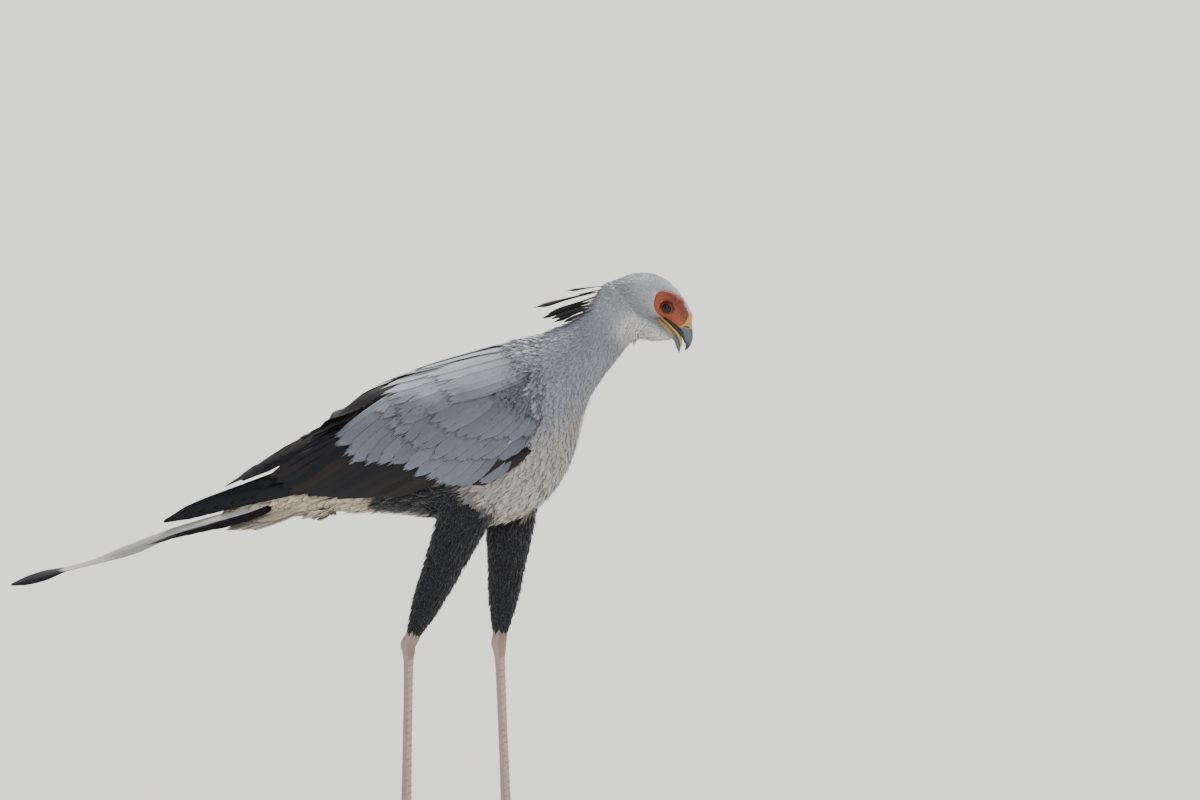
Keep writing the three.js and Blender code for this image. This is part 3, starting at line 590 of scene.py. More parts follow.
# The lofts of trunk, tail root, head, thighs and wing fronts, joined at the remesh's voxel size.
def makeSkin():
    lofts = [trunkRings(4, 48), tailRings(4, 32)]
    lofts += [headRings("skull", "coat", 4, 48), headRings("jaw", "jawCoat", 4, 32)]
    for side in sideNames:
        lofts.append(thighRings(side, -0.1, 0.985, 24))
        outer, inner = wingPlate(side, 60, 24, 5 * mm, 15 * mm)
        lofts.append(np.concatenate([outer, inner[:, ::-1]], 1))
    points, quads, fans, count = [], [], [], 0
    for shellPoints, sets in map(closedLoft, lofts):
        points.append(shellPoints)
        quads.append(sets[0] + count)
        fans += [fan + count for fan in sets[1:]]
        count += len(shellPoints)
    skin = addPiece("skin", np.concatenate(points), [np.concatenate(quads), np.concatenate(fans)], "skin",
                    ("torso", "neck", "head"))
    remesh = skin.modifiers.new("remesh", "REMESH")
    remesh.mode = "VOXEL"
    remesh.voxel_size = skinLook["voxel"]
    remesh.use_smooth_shade = True
    relax = skin.modifiers.new("relax", "SMOOTH")
    relax.iterations = skinLook["smoothing"]
    relax.factor = 0.5
    bpy.context.view_layer.update()
    finished = bpy.data.meshes.new_from_object(skin.evaluated_get(bpy.context.evaluated_depsgraph_get()))
    skin.modifiers.clear()
    old, skin.data = skin.data, finished
    bpy.data.meshes.remove(old)
    finished.name = "skin"
    print("skin", len(finished.polygons), "faces")
    return skin


# The finished skin takes the markings' colours, a little darker, and dips in below the lids of each eye.
def tintSkin(skin):
    seats = np.empty(len(skin.data.vertices) * 3, np.float32)
    skin.data.vertices.foreach_get("co", seats)
    seats = seats.reshape(-1, 3).astype(float)
    shade = np.ones((len(seats), 4), np.float32)
    shade[:, :3] = markings(seats) * 0.8
    near = np.linalg.norm(inHead(seats)[:, [0, 2]], axis=1)
    seats[:, 1] -= np.sign(seats[:, 1]) * 7 * mm * smooth(0.017, 0.011, near) * (np.abs(seats[:, 1]) > 0.015)
    skin.data.vertices.foreach_set("co", seats.astype(np.float32).ravel())
    skin.data.color_attributes.new("tint", "FLOAT_COLOR", "POINT").data.foreach_set("color", shade.ravel())


# Markings

# The colours of the living bird in neutral light, linear, except the crown and mantle, paler with painted
# sunlight, and the covert grey, darker with painted shade.
plumage = {
    "sunlitCrown": (0.82, 0.82, 0.84),
    "neck": (0.34, 0.355, 0.40),
    "sunlitMantle": (0.50, 0.505, 0.54),
    "covert": (0.185, 0.195, 0.232),
    "breast": (0.46, 0.43, 0.40),
    "belly": (0.50, 0.46, 0.41),
    "vent": (0.60, 0.50, 0.37),
    "black": (0.012, 0.012, 0.015),
    "brownBlack": (0.027, 0.021, 0.020),
    "throat": (0.88, 0.86, 0.82),
    "nape": (0.46, 0.465, 0.50),
    "tail": (0.56, 0.54, 0.50),
}


# Markings of the body by place: neck grey, white throat, a crown white with painted sunlight, a mantle paler
# with painted sunlight, buff vent, black thighs and flank. Each layer is a colour and a mask of where it
# lies, painted over the ones before.
def markings(points):
    x, y, z = points[..., 0], np.abs(points[..., 1]), points[..., 2]
    local = inHead(points)
    wander = 0.012 * ripple(points, 0.09, 3)
    back = np.interp(x, [-0.1, 0.006, 0.13, 0.24, 0.35, 0.41], [0.61, 0.69, 0.745, 0.775, 0.815, 0.86])
    belly = np.interp(x, [-0.1, 0.0, 0.2, 0.3, 0.36, 0.4], [0.60, 0.61, 0.63, 0.66, 0.70, 0.73])
    rump = np.interp(x, [-0.22, -0.1, 0.0, 0.1], [0.535, 0.575, 0.63, 0.70])
    flank = smooth(0.035, 0.07, x + wander) * smooth(0.225, 0.185, x + wander)
    flank = flank * smooth(0.62, 0.59, z + wander) * smooth(0.012, 0.03, y)
    tuft = np.linalg.norm(points - np.array([0.390, 0.0, 0.697]), axis=-1)
    onHeadMask = smooth(-0.105, -0.06, local[..., 2])
    chin = smooth(-0.06, -0.025, local[..., 0]) * smooth(-0.028, -0.044, local[..., 2] + wander)
    thighs = np.zeros(x.shape)
    for side in sideNames:
        knee, heel = joint(side, "knee") * mm, joint(side, "heel") * mm
        way = heel - knee
        t = np.clip(((points - knee) @ way) / (way @ way), 0.0, 1.2)
        away = np.linalg.norm(points - knee - t[..., None] * way, axis=-1)
        limit = np.interp(t, [0, 0.3, 1], [0.048, 0.05, 0.05])
        near = smooth(limit + 0.006, limit - 0.006, away + wander)
        thighs = np.maximum(thighs, near * smooth(0.02, 0.10, t))
    layers = [
        # mantle: painted sunlight, paler over the top of the back
        ("sunlitMantle", smooth(-0.03, 0.02, z - back + wander) * smooth(0.43, 0.36, x)),
        ("breast", smooth(0.03, -0.03, z - belly + wander)),
        ("belly", smooth(0.02, -0.04, z - belly + 0.05 + wander)),
        ("vent", smooth(0.10, 0.04, x + wander) * smooth(0.63, 0.60, z)),
        ("black", flank),
        ("brownBlack", smooth(0.15, 0.10, x) * smooth(0.66, 0.69, z) * smooth(0.06, 0.045, y)),
        ("tail", smooth(-0.01, 0.01, z - rump) * smooth(0.0, -0.05, x)),
        ("throat", smooth(0.034, 0.018, tuft + 0.4 * wander)),
        ("nape", onHeadMask),
        # crown: painted sunlight, white over the top of the head
        ("sunlitCrown", onHeadMask * smooth(-0.035, 0.012, local[..., 2] + 0.3 * wander)),
        ("throat", chin * onHeadMask),
        ("black", thighs),
    ]
    colours = np.ones(x.shape + (3,)) * np.array(plumage["neck"])
    for name, mask in layers:
        colours = blendTo(colours, plumage[name], mask)
    return colours


# Feathers laid in whole groups. A feather is a thin closed lens: a grid of rows along its shaft and columns
# across it, and an underside that shares its rim. Each row's middle sits where centres says, with its own
# way along, way across and way up; the rest of the row reaches from there to the vane's width.
def layVanes(name, group, look, paint, replaces=()):
    centres, up = group["centres"], group["up"]  # (count, rows, 3)
    count, rows = centres.shape[:2]
    cols = look["cols"]
    ahead = unit(np.gradient(centres, axis=1))
    across = unit(np.cross(up, ahead))
    if "roll" in group:
        turn = group["roll"][..., None]
        across, up = across * np.cos(turn) + up * np.sin(turn), up * np.cos(turn) - across * np.sin(turn)
    v = look["v"]
    x = np.linspace(-1, 1, cols)
    width = group["half"][:, None] * np.interp(v, look["profileV"], look["profile"])[None, :]
    long = group["length"][:, None, None]
    fray = look["fray"] * dice.uniform(-1, 1, (count, 1, cols)) * smooth(0.5, 1.0, v)[None, :, None]
    swept = -look["round"] * (x**2)[None, None, :] * (0.35 + 0.65 * v)[None, :, None] + fray
    cup = -look["cup"] * (x**2)[None, None, :] * width[..., None]
    thick = look["thick"] * (1 - x**2)[None, None, :] * np.interp(v, [0, 0.7, 1], [1, 1, 0.4])[None, :, None]
    shaft = look["shaft"] * np.exp(-((x / 0.12) ** 2))[None, None, :] * (1 - 0.8 * v)[None, :, None]

    def face(lift):
        return (
            centres[:, :, None]
            + across[:, :, None] * (width[..., None] * x)[..., None]
            + ahead[:, :, None] * (swept * long)[..., None]
            + up[:, :, None] * (cup + lift)[..., None]
        )

    above = face(thick / 2 + shaft + 0 * width[..., None])
    below = face(-thick / 2 + 0 * width[..., None])[:, 1:-1, 1:-1]
    per = rows * cols + (rows - 2) * (cols - 2)
    points = np.concatenate([above.reshape(count, -1, 3), below.reshape(count, -1, 3)], 1)
    top = np.arange(rows * cols).reshape(rows, cols)
    under = top.copy()
    under[1:-1, 1:-1] = rows * cols + np.arange((rows - 2) * (cols - 2)).reshape(rows - 2, cols - 2)
    quads = []
    for sheet, flip in ((top, True), (under, False)):
        q = np.stack([sheet[:-1, :-1], sheet[:-1, 1:], sheet[1:, 1:], sheet[1:, :-1]], -1).reshape(-1, 4)
        quads.append(q[:, ::-1] if flip else q)
    quads = np.concatenate(quads)
    grid = np.stack(np.broadcast_arrays((x[None, :] + 1) / 2, v[:, None]), -1)
    vaneUv = np.concatenate([grid.reshape(-1, 2), grid[1:-1, 1:-1].reshape(-1, 2)])
    patch = 0.003 * (vaneUv - 0.5)
    tint = group["tint"][:, None] if group["tint"].ndim == 2 else group["tint"]
    if tint.shape[1] != 1:
        tint = np.repeat(tint, cols, 1)
        inner = tint.reshape(count, rows, cols, 3)[:, 1:-1, 1:-1]
        tint = np.concatenate([tint, inner.reshape(count, -1, 3)], 1)
    tint = np.broadcast_to(tint, (count, per, 3))
    limit = 190000 // (2 * len(quads))
    for k, start in enumerate(range(0, count, limit)):
        some = slice(start, start + limit)
        n = points[some].shape[0]
        faces = (quads[None] + (np.arange(n) * per)[:, None, None]).reshape(-1, 4)
        uvs = {
            "vane": np.broadcast_to(vaneUv, (n, per, 2)),
            "OFBake": group["uv"][some, None] + patch,
        }
        pieceName = name if count <= limit else f"{name}_{k + 1}"
        addPiece(pieceName, points[some], [faces], paint, replaces if k == 0 else (), tint[some], uvs)
    print(name, count, "feathers", count * len(quads) * 2, "triangles")


# The coat of small feathers: roots in staggered rows over a loft, each vane bent to the skin below it.

# A point of a ring grid by its shares along (u) and round (v).
def sampleRings(rings, u, v, wrap):
    rows, cols = rings.shape[:2]
    fu = np.clip(u, 0, 1) * (rows - 1)
    fv = (v % 1) * cols if wrap else np.clip(v, 0, 1) * (cols - 1)
    i, j = np.minimum(fu.astype(int), rows - 2), fv.astype(int)
    j = j if wrap else np.minimum(j, cols - 2)
    a, b = (fu - i)[..., None], (fv - j)[..., None]
    n = (j + 1) % cols
    near = rings[i, j] * (1 - b) + rings[i, n] * b
    return near * (1 - a) + (rings[i + 1, j] * (1 - b) + rings[i + 1, n] * b) * a


# Shares (u, v) of staggered rows; the gap between rows and within one follows the length at that ring.
def staggeredRows(rings, lengthAt, look, wrap):
    spine = rings.mean(1)
    steps = np.linalg.norm(np.diff(rings, axis=0), axis=-1).max(1)
    reach = np.concatenate([[0], np.cumsum(steps)])
    loop = np.concatenate([rings, rings[:, :1]], 1) if wrap else rings
    around = np.linalg.norm(np.diff(loop, axis=1), axis=-1).sum(1)
    share = np.linspace(0, 1, len(rings))
    us, vs, place, odd = [], [], 0.0, 0
    while place < reach[-1]:
        u = np.interp(place, reach, share)
        size = float(lengthAt(np.array([np.interp(u, share, spine[:, k]) for k in range(3)])))
        count = max(3, int(np.interp(u, share, around) / (size * look["slim"] * look["gapAcross"])))
        v = (np.arange(count) + 0.5 * odd) / count + dice.uniform(-0.25, 0.25, count) / count
        us.append(u + dice.uniform(-0.3, 0.3, count) * size * look["gapAlong"] / reach[-1])
        vs.append(v)
        place += size * look["gapAlong"]
        odd = 1 - odd
    return np.clip(np.concatenate(us), 0, 1), np.concatenate(vs)


looks = {
    "soft": {
        "cols": 5, "v": np.array([0, 0.35, 0.7, 0.9, 1.0]), "profileV": [0, 0.3, 0.7, 1],
        "profile": [0.4, 0.95, 1.0, 0.62], "fray": 0.30, "round": 0.16, "cup": 0.10, "thick": 0.35 * mm,
        "shaft": 0.0, "slim": 0.22, "gapAcross": 0.95, "gapAlong": 0.25,
    },
    "tiny": {
        "cols": 3, "v": np.array([0, 0.45, 0.8, 1.0]), "profileV": [0, 0.3, 0.7, 1],
        "profile": [0.5, 1.0, 0.8, 0.15], "fray": 0.25, "round": 0.1, "cup": 0.15, "thick": 0.35 * mm,
        "shaft": 0.0, "slim": 0.15, "gapAcross": 1.15, "gapAlong": 0.26,
    },
    "covert": {
        "cols": 15, "v": np.array([0, 0.22, 0.45, 0.68, 0.85, 0.94, 1.0]),
        "profileV": [0, 0.3, 0.75, 0.92, 1], "profile": [0.45, 0.95, 1.0, 0.86, 0.55], "fray": 0.06,
        "round": 0.13, "cup": 0.05, "thick": 0.5 * mm, "shaft": 0.15 * mm, "slim": 0.30,
        "gapAcross": 1.0, "gapAlong": 0.3,
    },
    "flight": {
        "cols": 9, "v": np.linspace(0, 1, 22) ** 0.85, "profileV": [0, 0.25, 0.8, 0.93, 1],
        "profile": [0.6, 0.95, 1.0, 0.82, 0.4], "fray": 0.006, "round": 0.07, "cup": 0.1, "thick": 0.9 * mm,
        "shaft": 0.6 * mm,
    },
    "ribbon": {
        "cols": 9, "v": np.linspace(0, 1, 48), "profileV": [0, 0.2, 0.6, 0.75, 0.9, 0.97, 1],
        "profile": [0.75, 1.0, 0.9, 0.8, 0.9, 0.72, 0.3], "fray": 0.003, "round": 0.03, "cup": 0.12,
        "thick": 0.9 * mm, "shaft": 0.8 * mm,
    },
    "lash": {
        "cols": 3, "v": np.linspace(0, 1, 7), "profileV": [0, 0.6, 1], "profile": [1, 0.7, 0.15], "fray": 0.0,
        "round": 0.0, "cup": 0.0, "thick": 0.45 * mm, "shaft": 0.0,
    },
    "plume": {
        "cols": 7, "v": np.linspace(0, 1, 14), "profileV": [0, 0.3, 0.6, 0.85, 0.96, 1],
        "profile": [0.18, 0.28, 0.55, 1.0, 0.85, 0.4], "fray": 0.02, "round": 0.05, "cup": 0.25,
        "thick": 0.7 * mm, "shaft": 0.5 * mm,
    },
}


# A length in mm read from a table along one coordinate of a point, on the bird or in the head's own frame.
def sizeAlong(axis, places, sizes, headFrame=False):
    return lambda p: np.interp((inHead(p) if headFrame else p)[..., axis], places, sizes) * mm


# A tract of coat feathers on one loft. lie turns them from the loft's backward way towards the ground,
# keep drops roots by place, lengthAt gives each its length, rise its tip's height over the skin.
def layTract(name, rings, tract, look, paint, skin, wrap=True, replaces=()):
    look = looks[look]
    u, v = staggeredRows(rings, tract["lengthAt"], look, wrap)
    roots = sampleRings(rings, u, v, wrap)
    seat, normal = settle(roots, skin)
    step = tract.get("towards", -1) * 0.01
    ahead = sampleRings(rings, u + step, v, wrap) - sampleRings(rings, u - step, v, wrap)
    keep = np.linalg.norm(seat - roots, axis=-1) < tract["stray"]
    keep &= tract["keep"](seat) if "keep" in tract else True
    seat, normal, ahead, u, v = (a[keep] for a in (seat, normal, ahead, u, v))
    count = len(seat)
    down = np.array([0, 0, -1.0]) * tract["lie"](seat)[:, None]
    ahead = unit(unit(ahead) + down + 0.12 * dice.normal(size=(count, 3)))
    ahead = unit(ahead - normal * (ahead * normal).sum(-1, keepdims=True))
    length = np.apply_along_axis(tract["lengthAt"], 1, seat) * dice.uniform(0.85, 1.15, count)
    s = look["v"][None, :] * length[:, None]
    line, up = settle(seat[:, None] + ahead[:, None] * s[..., None], skin)
    rise = tract["rise"](seat)[:, None] * dice.uniform(0.75, 1.2, (count, 1))
    lift = rise * (look["v"] ** 1.2)[None, :] - 0.5 * mm * (1 - look["v"])[None, :]
    centres = line + up * lift[..., None]
    steady = unit(up + 0.8 * normal[:, None])
    tint = markings(centres[:, 1])
    tint = tint * dice.uniform(1 - tract["mix"], 1 + tract["mix"], (count, 1))
    uv = np.stack([tract["tile"][0] + 0.2 * u, tract["tile"][1] + 0.2 * (v % 1)], -1)
    group = {"centres": centres, "up": steady, "half": length * look["slim"], "length": length,
             "tint": tint, "uv": uv}
    if "hook" in tract:
        tract["hook"](group, seat)
    layVanes(name, group, look, paint, replaces)


# Distance inside the bare face's outline, its edge made uneven.
def faceMask(points):
    local = inHead(points)
    outline = np.array(head["face"]) * mm
    return insideOutline(local[..., 0], local[..., 2], outline) + 0.0012 * ripple(points, 0.006, 9)


# True where the wing hides the body: well above its lower edge, or in the hollow behind it.
def underWing(points):
    x, y, z = points[..., 0], np.abs(points[..., 1]), points[..., 2]
    low = readAt(np.array(wing["lowerEdge"]) * mm, x, 1)
    behind = (x > -0.12) & (x < 0.1) & (z > 0.590) & (z < 0.66) & (y > 0.03)
    return behind | ((x > -0.05) & (x < 0.32) & (z > low + 0.03) & (y > 0.055))


def makeCoat(skin):
    layTract("coat_trunk", trunkRings(6, 96), {
        "lengthAt": sizeAlong(0, [0.0, 0.3, 0.36, 0.40, 0.44, 0.49], [42, 33, 25, 17, 12, 9]),
        "lie": lambda p: 0.35 * smooth(0.40, 0.25, p[:, 0]) * smooth(0.0, 0.06, np.abs(p[:, 1])),
        "rise": lambda p: (np.interp(p[:, 0], [0.1, 0.35, 0.42, 0.5], [7.5, 6.5, 4.0, 3.0]) * mm
                           * (1 - 0.7 * smooth(0.19, 0.15, p[:, 0]) * smooth(0.65, 0.68, p[:, 2]))),
        "keep": lambda p: ~underWing(p) & (faceMask(p) < -2 * mm),
        "mix": 0.12, "tile": (0.02, 0.02), "slot": "grey_plumage", "stray": 7 * mm,
    }, "soft", "body", skin)

    layTract("coat_tail_root", tailRings(6, 48)[::-1], {
        "lengthAt": lambda p: 46 * mm,
        "lie": lambda p: 0.12 + 0 * p[:, 0],
        "rise": lambda p: (5.5 - 3.5 * smooth(0.0, 0.01, p[:, 2] - 0.565 - 0.3 * (p[:, 0] + 0.12))) * mm,
        "mix": 0.1, "tile": (0.26, 0.02), "slot": "tail_plumage", "stray": 6 * mm,
    }, "soft", "body", skin)

    layTract("coat_head", headRings("skull", "coat", 8, 96), {
        "lengthAt": sizeAlong(0, [-0.08, -0.04, 0.0, 0.03, 0.05], [10, 8, 6, 4.5, 3.5], True),
        "lie": lambda p: 0.15 * smooth(0.0, 0.02, np.abs(p[:, 1])),
        "rise": sizeAlong(0, [-0.06, 0.0, 0.04], [2.2, 1.5, 1.0], True),
        "keep": lambda p: (faceMask(p) < 0) & (inHead(p)[:, 0] < 0.043),
        "mix": 0.06, "tile": (0.50, 0.02), "slot": "grey_plumage", "stray": 7 * mm,
    }, "tiny", "body", skin)

    layTract("coat_throat", headRings("jaw", "jawCoat", 8, 72), {
        "lengthAt": sizeAlong(2, [-0.07, -0.05, -0.03], [22, 15, 7], True),
        "lie": lambda p: 1.1 + 0 * p[:, 0],
        "rise": sizeAlong(2, [-0.07, -0.05, -0.03], [11, 5, 2.0], True),
        "keep": lambda p: (faceMask(p) < 0) & (inHead(p)[:, 2] < -0.022),
        "mix": 0.08, "tile": (0.74, 0.02), "slot": "grey_plumage", "stray": 4 * mm,
    }, "tiny", "body", skin)

    for side, sideName in sideNames.items():
        layTract(f"coat_thigh_{sideName}", thighRings(side, 0.02, 0.97, 48), {
            "lengthAt": sizeAlong(2, [0.32, 0.42, 0.56], [12, 19, 26]),
            "lie": lambda p: 0.15 + 0 * p[:, 0],
            "rise": sizeAlong(2, [0.32, 0.42], [2.5, 5.5]),
            "towards": 1, "mix": 0.25, "tile": (0.02 + 0.24 * (side > 0), 0.26), "slot": "black_plumage",
            "stray": 6 * mm,
        }, "soft", "body", skin, replaces=(f"thigh_{sideName}",))
        outer, _ = wingPlate(side, 80, 40, 5 * mm, 15 * mm)
        layTract(f"coat_wing_{sideName}", outer, {
            "lengthAt": sizeAlong(0, [0.1, 0.25, 0.33], [34, 30, 22]),
            "lie": lambda p: 0.25 * smooth(0.02, 0.08, np.abs(p[:, 1])),
            "rise": sizeAlong(0, [0.23, 0.30], [2.5, 6.0]),
            "keep": lambda p: p[:, 0] > 0.235 + 0.5 * np.maximum(0, 0.70 - p[:, 2]),
            "mix": 0.10, "tile": (0.50 + 0.24 * (side > 0), 0.26), "slot": "wing_plumage", "stray": 6 * mm,
            "hook": lambda group, seat: group.update(tint=coverts(group["tint"], seat)),
        }, "soft", "covert", skin, wrap=False)


# Blue-grey over the wing's front, darkened as painted shade on the wing's side, meeting the mantle, paler
# with painted sunlight, along its upper edge.
def coverts(tint, points):
    x, z = points[:, 0], points[:, 2]
    pale = np.interp(x, [0.0, 0.1, 0.2, 0.33], [0.700, 0.735, 0.755, 0.80])
    mask = smooth(0.025, -0.025, z - pale + 0.01 * ripple(points, 0.08, 8))
    return blendTo(tint, plumage["covert"], mask)


# The wing's tiers, in side view (x, z), lowest feather first. half, lift, step, tilt and sink in mm.
tiers = [
    {"name": "secondaries", "count": 13, "roots": [[226, 650], [70, 726]],
     "tips": [[44, 564], [-6, 560], [-58, 563], [-106, 572], [-142, 598]], "bend": -7, "half": 17,
     "lift": -7.6, "step": 0.28, "tilt": 1.9, "sink": 3, "look": "flight",
     "colour": ("black", "brownBlack")},
    {"name": "tertials", "count": 7, "roots": [[82, 730], [142, 794]],
     "tips": [[-214, 586], [-176, 606], [-150, 622], [-112, 640], [-70, 672]], "bend": 7, "half": 16,
     "lift": -3.8, "step": 0.8, "tilt": 1.3, "sink": 7, "look": "flight", "colour": ("brownBlack", "black")},
    {"name": "alula", "count": 4, "roots": [[300, 650], [270, 648]], "tips": [[204, 591], [212, 600]],
     "bend": -6, "half": 9, "lift": -3.4, "step": 0.3, "tilt": 0.8, "sink": 3, "look": "flight",
     "colour": ("black", "brownBlack")},
    {"name": "greater_coverts", "count": 15, "roots": [[268, 640], [84, 752]],
     "tips": [[236, 602], [165, 588], [114, 603], [60, 622], [-2, 628], [-30, 668]], "bend": -5, "half": 14,
     "lift": -1.8, "step": 0.12, "tilt": 1.6, "sink": 5, "look": "covert"},
    {"name": "median_coverts", "count": 14, "roots": [[292, 676], [150, 776]],
     "tips": [[262, 642], [170, 632], [90, 660], [40, 712]], "bend": -3, "half": 13.5, "lift": 0.4,
     "step": 0.05, "tilt": 1.5, "sink": 5, "look": "covert"},
    {"name": "lesser_coverts", "count": 13, "roots": [[306, 704], [196, 792]],
     "tips": [[286, 672], [196, 668], [134, 694], [100, 738]], "bend": -2, "half": 12.5, "lift": 1.4,
     "step": 0.05, "tilt": 1.3, "sink": 4, "look": "covert"},
    {"name": "long_scapulars", "count": 8, "roots": [[240, 768], [222, 806]],
     "tips": [[78, 694], [70, 716], [58, 736], [46, 752]], "bend": 4, "half": 14, "lift": 1.8, "step": 0.25,
     "tilt": 1.3, "sink": 5, "look": "covert"},
    {"name": "short_scapulars", "count": 8, "roots": [[300, 776], [270, 826]],
     "tips": [[170, 726], [146, 752], [108, 786]], "bend": 3, "half": 14, "lift": 2.6, "step": 0.2,
     "tilt": 1.2, "sink": 5, "look": "covert"},
]
primaries = {
    "count": 8, "half": 13, "step": 0.7, "roots": [[-40, 624], [110, 634]],
    "tips": [[-322, 520], [-172, 563]],
    "from": [[-322, 5.2], [-157, 26.6], [-62, 47.6], [7, 63.4], [112, 83]],
}


# Points at even shares t along a smooth line through a table's rows.
def alongTable(points, t):
    spread = fineRows(np.array(points, float), 12)
    share = np.linspace(0, 1, len(spread))
    return np.stack([np.interp(t, share, spread[:, k]) for k in range(spread.shape[1])], -1)


# A wing feather's tint at every row: blue-grey below with painted shade, paler towards the mantle with
# painted sunlight, darker towards its base under the feather above as painted shade.
def wingTint(centres):
    count, rows = centres.shape[:2]
    flat = centres.reshape(-1, 3)
    tint = coverts(np.ones((len(flat), 3)) * np.array(plumage["sunlitMantle"]), flat).reshape(count, rows, 3)
    # painted shade towards each feather's covered base, a little painted light at its tip
    return tint * dice.uniform(0.88, 1.1, (count, 1, 1)) * np.linspace(0.86, 1.06, rows)[None, :, None]


# A tint for each feather, a random share between two colours and a random brightness.
def mixTint(names, count, spread):
    first, last = (np.array(plumage[n]) for n in names)
    share = dice.uniform(0, 1, (count, 1))
    return (first + (last - first) * share) * dice.uniform(1 - spread, 1 + spread, (count, 1))


# Straight shafts in side view, spread evenly between the tables of roots and tips, with each one's length.
# scatter shifts the roots and tips at random, in mm.
def shafts(group, v, scatter):
    t = np.linspace(0, 1, group["count"])
    roots, tips = (alongTable(group[k], t) * mm for k in ("roots", "tips"))
    for ends, size in zip((roots, tips), scatter):
        ends += dice.normal(size=ends.shape) * size * mm
    return t, roots[:, None] * (1 - v) + tips[:, None] * v, np.linalg.norm(tips - roots, axis=-1)


# A tier laid on the wing's envelope: shafts bowed by 4 * bend * v * (1 - v), each feather a step higher
# than the one before and sunk towards its root.
def makeTier(side, sideName, tier, index):
    look = looks[tier["look"]]
    count = tier["count"]
    v = look["v"][None, :, None]
    t, line, length = shafts(tier, v, (1.0, 2.0))
    line[..., 1] += 4 * tier["bend"] * mm * (v * (1 - v))[..., 0]
    x, angle = line[..., 0], angleAt(line[..., 0], line[..., 1])
    raised = tier["lift"] + tier["step"] * np.arange(count)[:, None]
    lift = (raised - tier["sink"] * (1 - v[..., 0]) ** 2) * mm
    centres = onEnvelope(x, angle, lift, side)
    up = unit(onEnvelope(x, angle, lift + 0.01, side) - centres)
    roll = np.full(x.shape, -side * math.atan(tier["tilt"] / tier["half"]))
    half = np.full(count, tier["half"] * mm) * dice.uniform(0.95, 1.06, count)
    tint = mixTint(tier["colour"], count, 0.10) if "colour" in tier else wingTint(centres)
    uv = np.stack([0.02 + 0.11 * index + 0.1 * t, np.full(count, 0.52 + 0.2 * (side > 0))], -1)
    group = {"centres": centres, "up": up, "roll": roll, "half": half, "length": length, "tint": tint,
             "uv": uv}
    replaces = (f"wing_{sideName}",) if index == 0 else ()
    layVanes(f"wing_{sideName}_{tier['name']}", group, look, tier["look"], replaces)


# The primaries show past the wing's rear, on a line of side distances read at each x.
def makePrimaries(side, sideName):
    count = primaries["count"]
    t, line, length = shafts(primaries, looks["flight"]["v"][None, :, None], ())
    carrier = np.array(primaries["from"])
    y = readAt(carrier, line[..., 0] / mm, 1) + primaries["step"] * np.arange(count)[:, None]
    centres = np.stack([line[..., 0], side * y * mm, line[..., 1]], -1)
    group = {"centres": centres, "up": np.zeros_like(centres) + np.array([0, side, 0.0]),
             "half": np.full(count, primaries["half"] * mm), "length": length,
             "tint": mixTint(("black", "black"), count, 0.1),
             "uv": np.stack([0.9 + 0 * t, 0.52 + 0.2 * (side > 0) + 0.02 * t], -1)}
    layVanes(f"wing_{sideName}_primaries", group, looks["flight"], "flight")


# The tail on its line: long middle pair, graduated shorter pairs, and the coverts below. Rolls in degrees.
tailLine = np.array([
    [-581, 415], [-498, 440], [-435, 457], [-370, 479], [-306, 506], [-240, 528], [-175, 546], [-60, 588],
]) * mm
longRoll = [
    [-581, 46], [-535, 40], [-498, 12], [-440, 20], [-400, 42], [-365, 44], [-340, 34], [-300, 28],
    [-240, 20], [-60, 18],
]
shortPairs = {
    "tips": [-352, -326, -300, -274, -248], "half": 17, "apart": 17.5, "drop": 5.5, "step": 2.4,
    "roll": [[-581, 18], [-60, 18]],
}
vent = {
    "tips": [-176, -196, -214, -150, -168], "apart": [15.5, 13, 10, 22, 19], "drop": [37, 32, 27, 30, 26],
    "half": 13, "roll": [[-581, 30], [-60, 30]],
}


# Feathers along the tail's line: apart from its middle and drop below it, rolled as the table says at each x.
def tailGroup(side, start, tips, half, apart, drop, rolls, look):
    tips, apart, drop = (np.array(a, float) * mm for a in (tips, apart, drop))
    x = start * mm + (tips[:, None] - start * mm) * looks[look]["v"]
    centres = np.stack([x, side * apart[:, None] + 0 * x, readAt(tailLine, x, 1) - drop[:, None]], -1)
    roll = side * np.radians(readAt(np.array(rolls, float), x / mm, 1))
    uv = np.stack([0.02 + 0.03 * np.arange(len(tips)), 0.94 + 0 * tips], -1)
    return {"centres": centres, "up": aboveLine(centres), "roll": roll, "half": np.full(len(tips), half * mm),
            "length": start * mm - tips, "uv": uv}


# The way up square to each line's own way.
def aboveLine(centres):
    way = unit(np.gradient(centres, axis=1))
    return unit(upwards - way * way[..., 2:])


def makeTail():
    for side, sideName in sideNames.items():
        group = tailGroup(side, -110, [-581], 14, [14.5], [2], longRoll, "ribbon")
        v = looks["ribbon"]["v"]
        pale = np.array(plumage["tail"]) * (0.9 + 0.15 * np.sin(9 * v))[:, None]
        band = smooth(0.805, 0.83, v)[:, None]
        group["tint"] = (pale * (1 - band) + np.array(plumage["black"]) * band)[None]
        replaces = ("tail",) if side < 0 else ()
        layVanes(f"tail_long_{sideName}", group, looks["ribbon"], "flight", replaces)
        i = np.arange(len(shortPairs["tips"]))
        group = tailGroup(side, -140, shortPairs["tips"], shortPairs["half"], shortPairs["apart"] + 0 * i,
                          shortPairs["drop"] + shortPairs["step"] * i, shortPairs["roll"], "flight")
        white = smooth(0.955, 0.975, looks["flight"]["v"])[None, :, None]
        base = mixTint(("black", "brownBlack"), len(i), 0.1)[:, None]
        group["tint"] = base * (1 - white) + np.array(plumage["tail"]) * white
        layVanes(f"tail_short_{sideName}", group, looks["flight"], "flight")
        group = tailGroup(side, -84, *(vent[k] for k in ("tips", "half", "apart", "drop", "roll")), "covert")
        group["tint"] = mixTint(("vent", "belly"), len(vent["tips"]), 0.08)
        layVanes(f"tail_coverts_{sideName}", group, looks["covert"], "body")


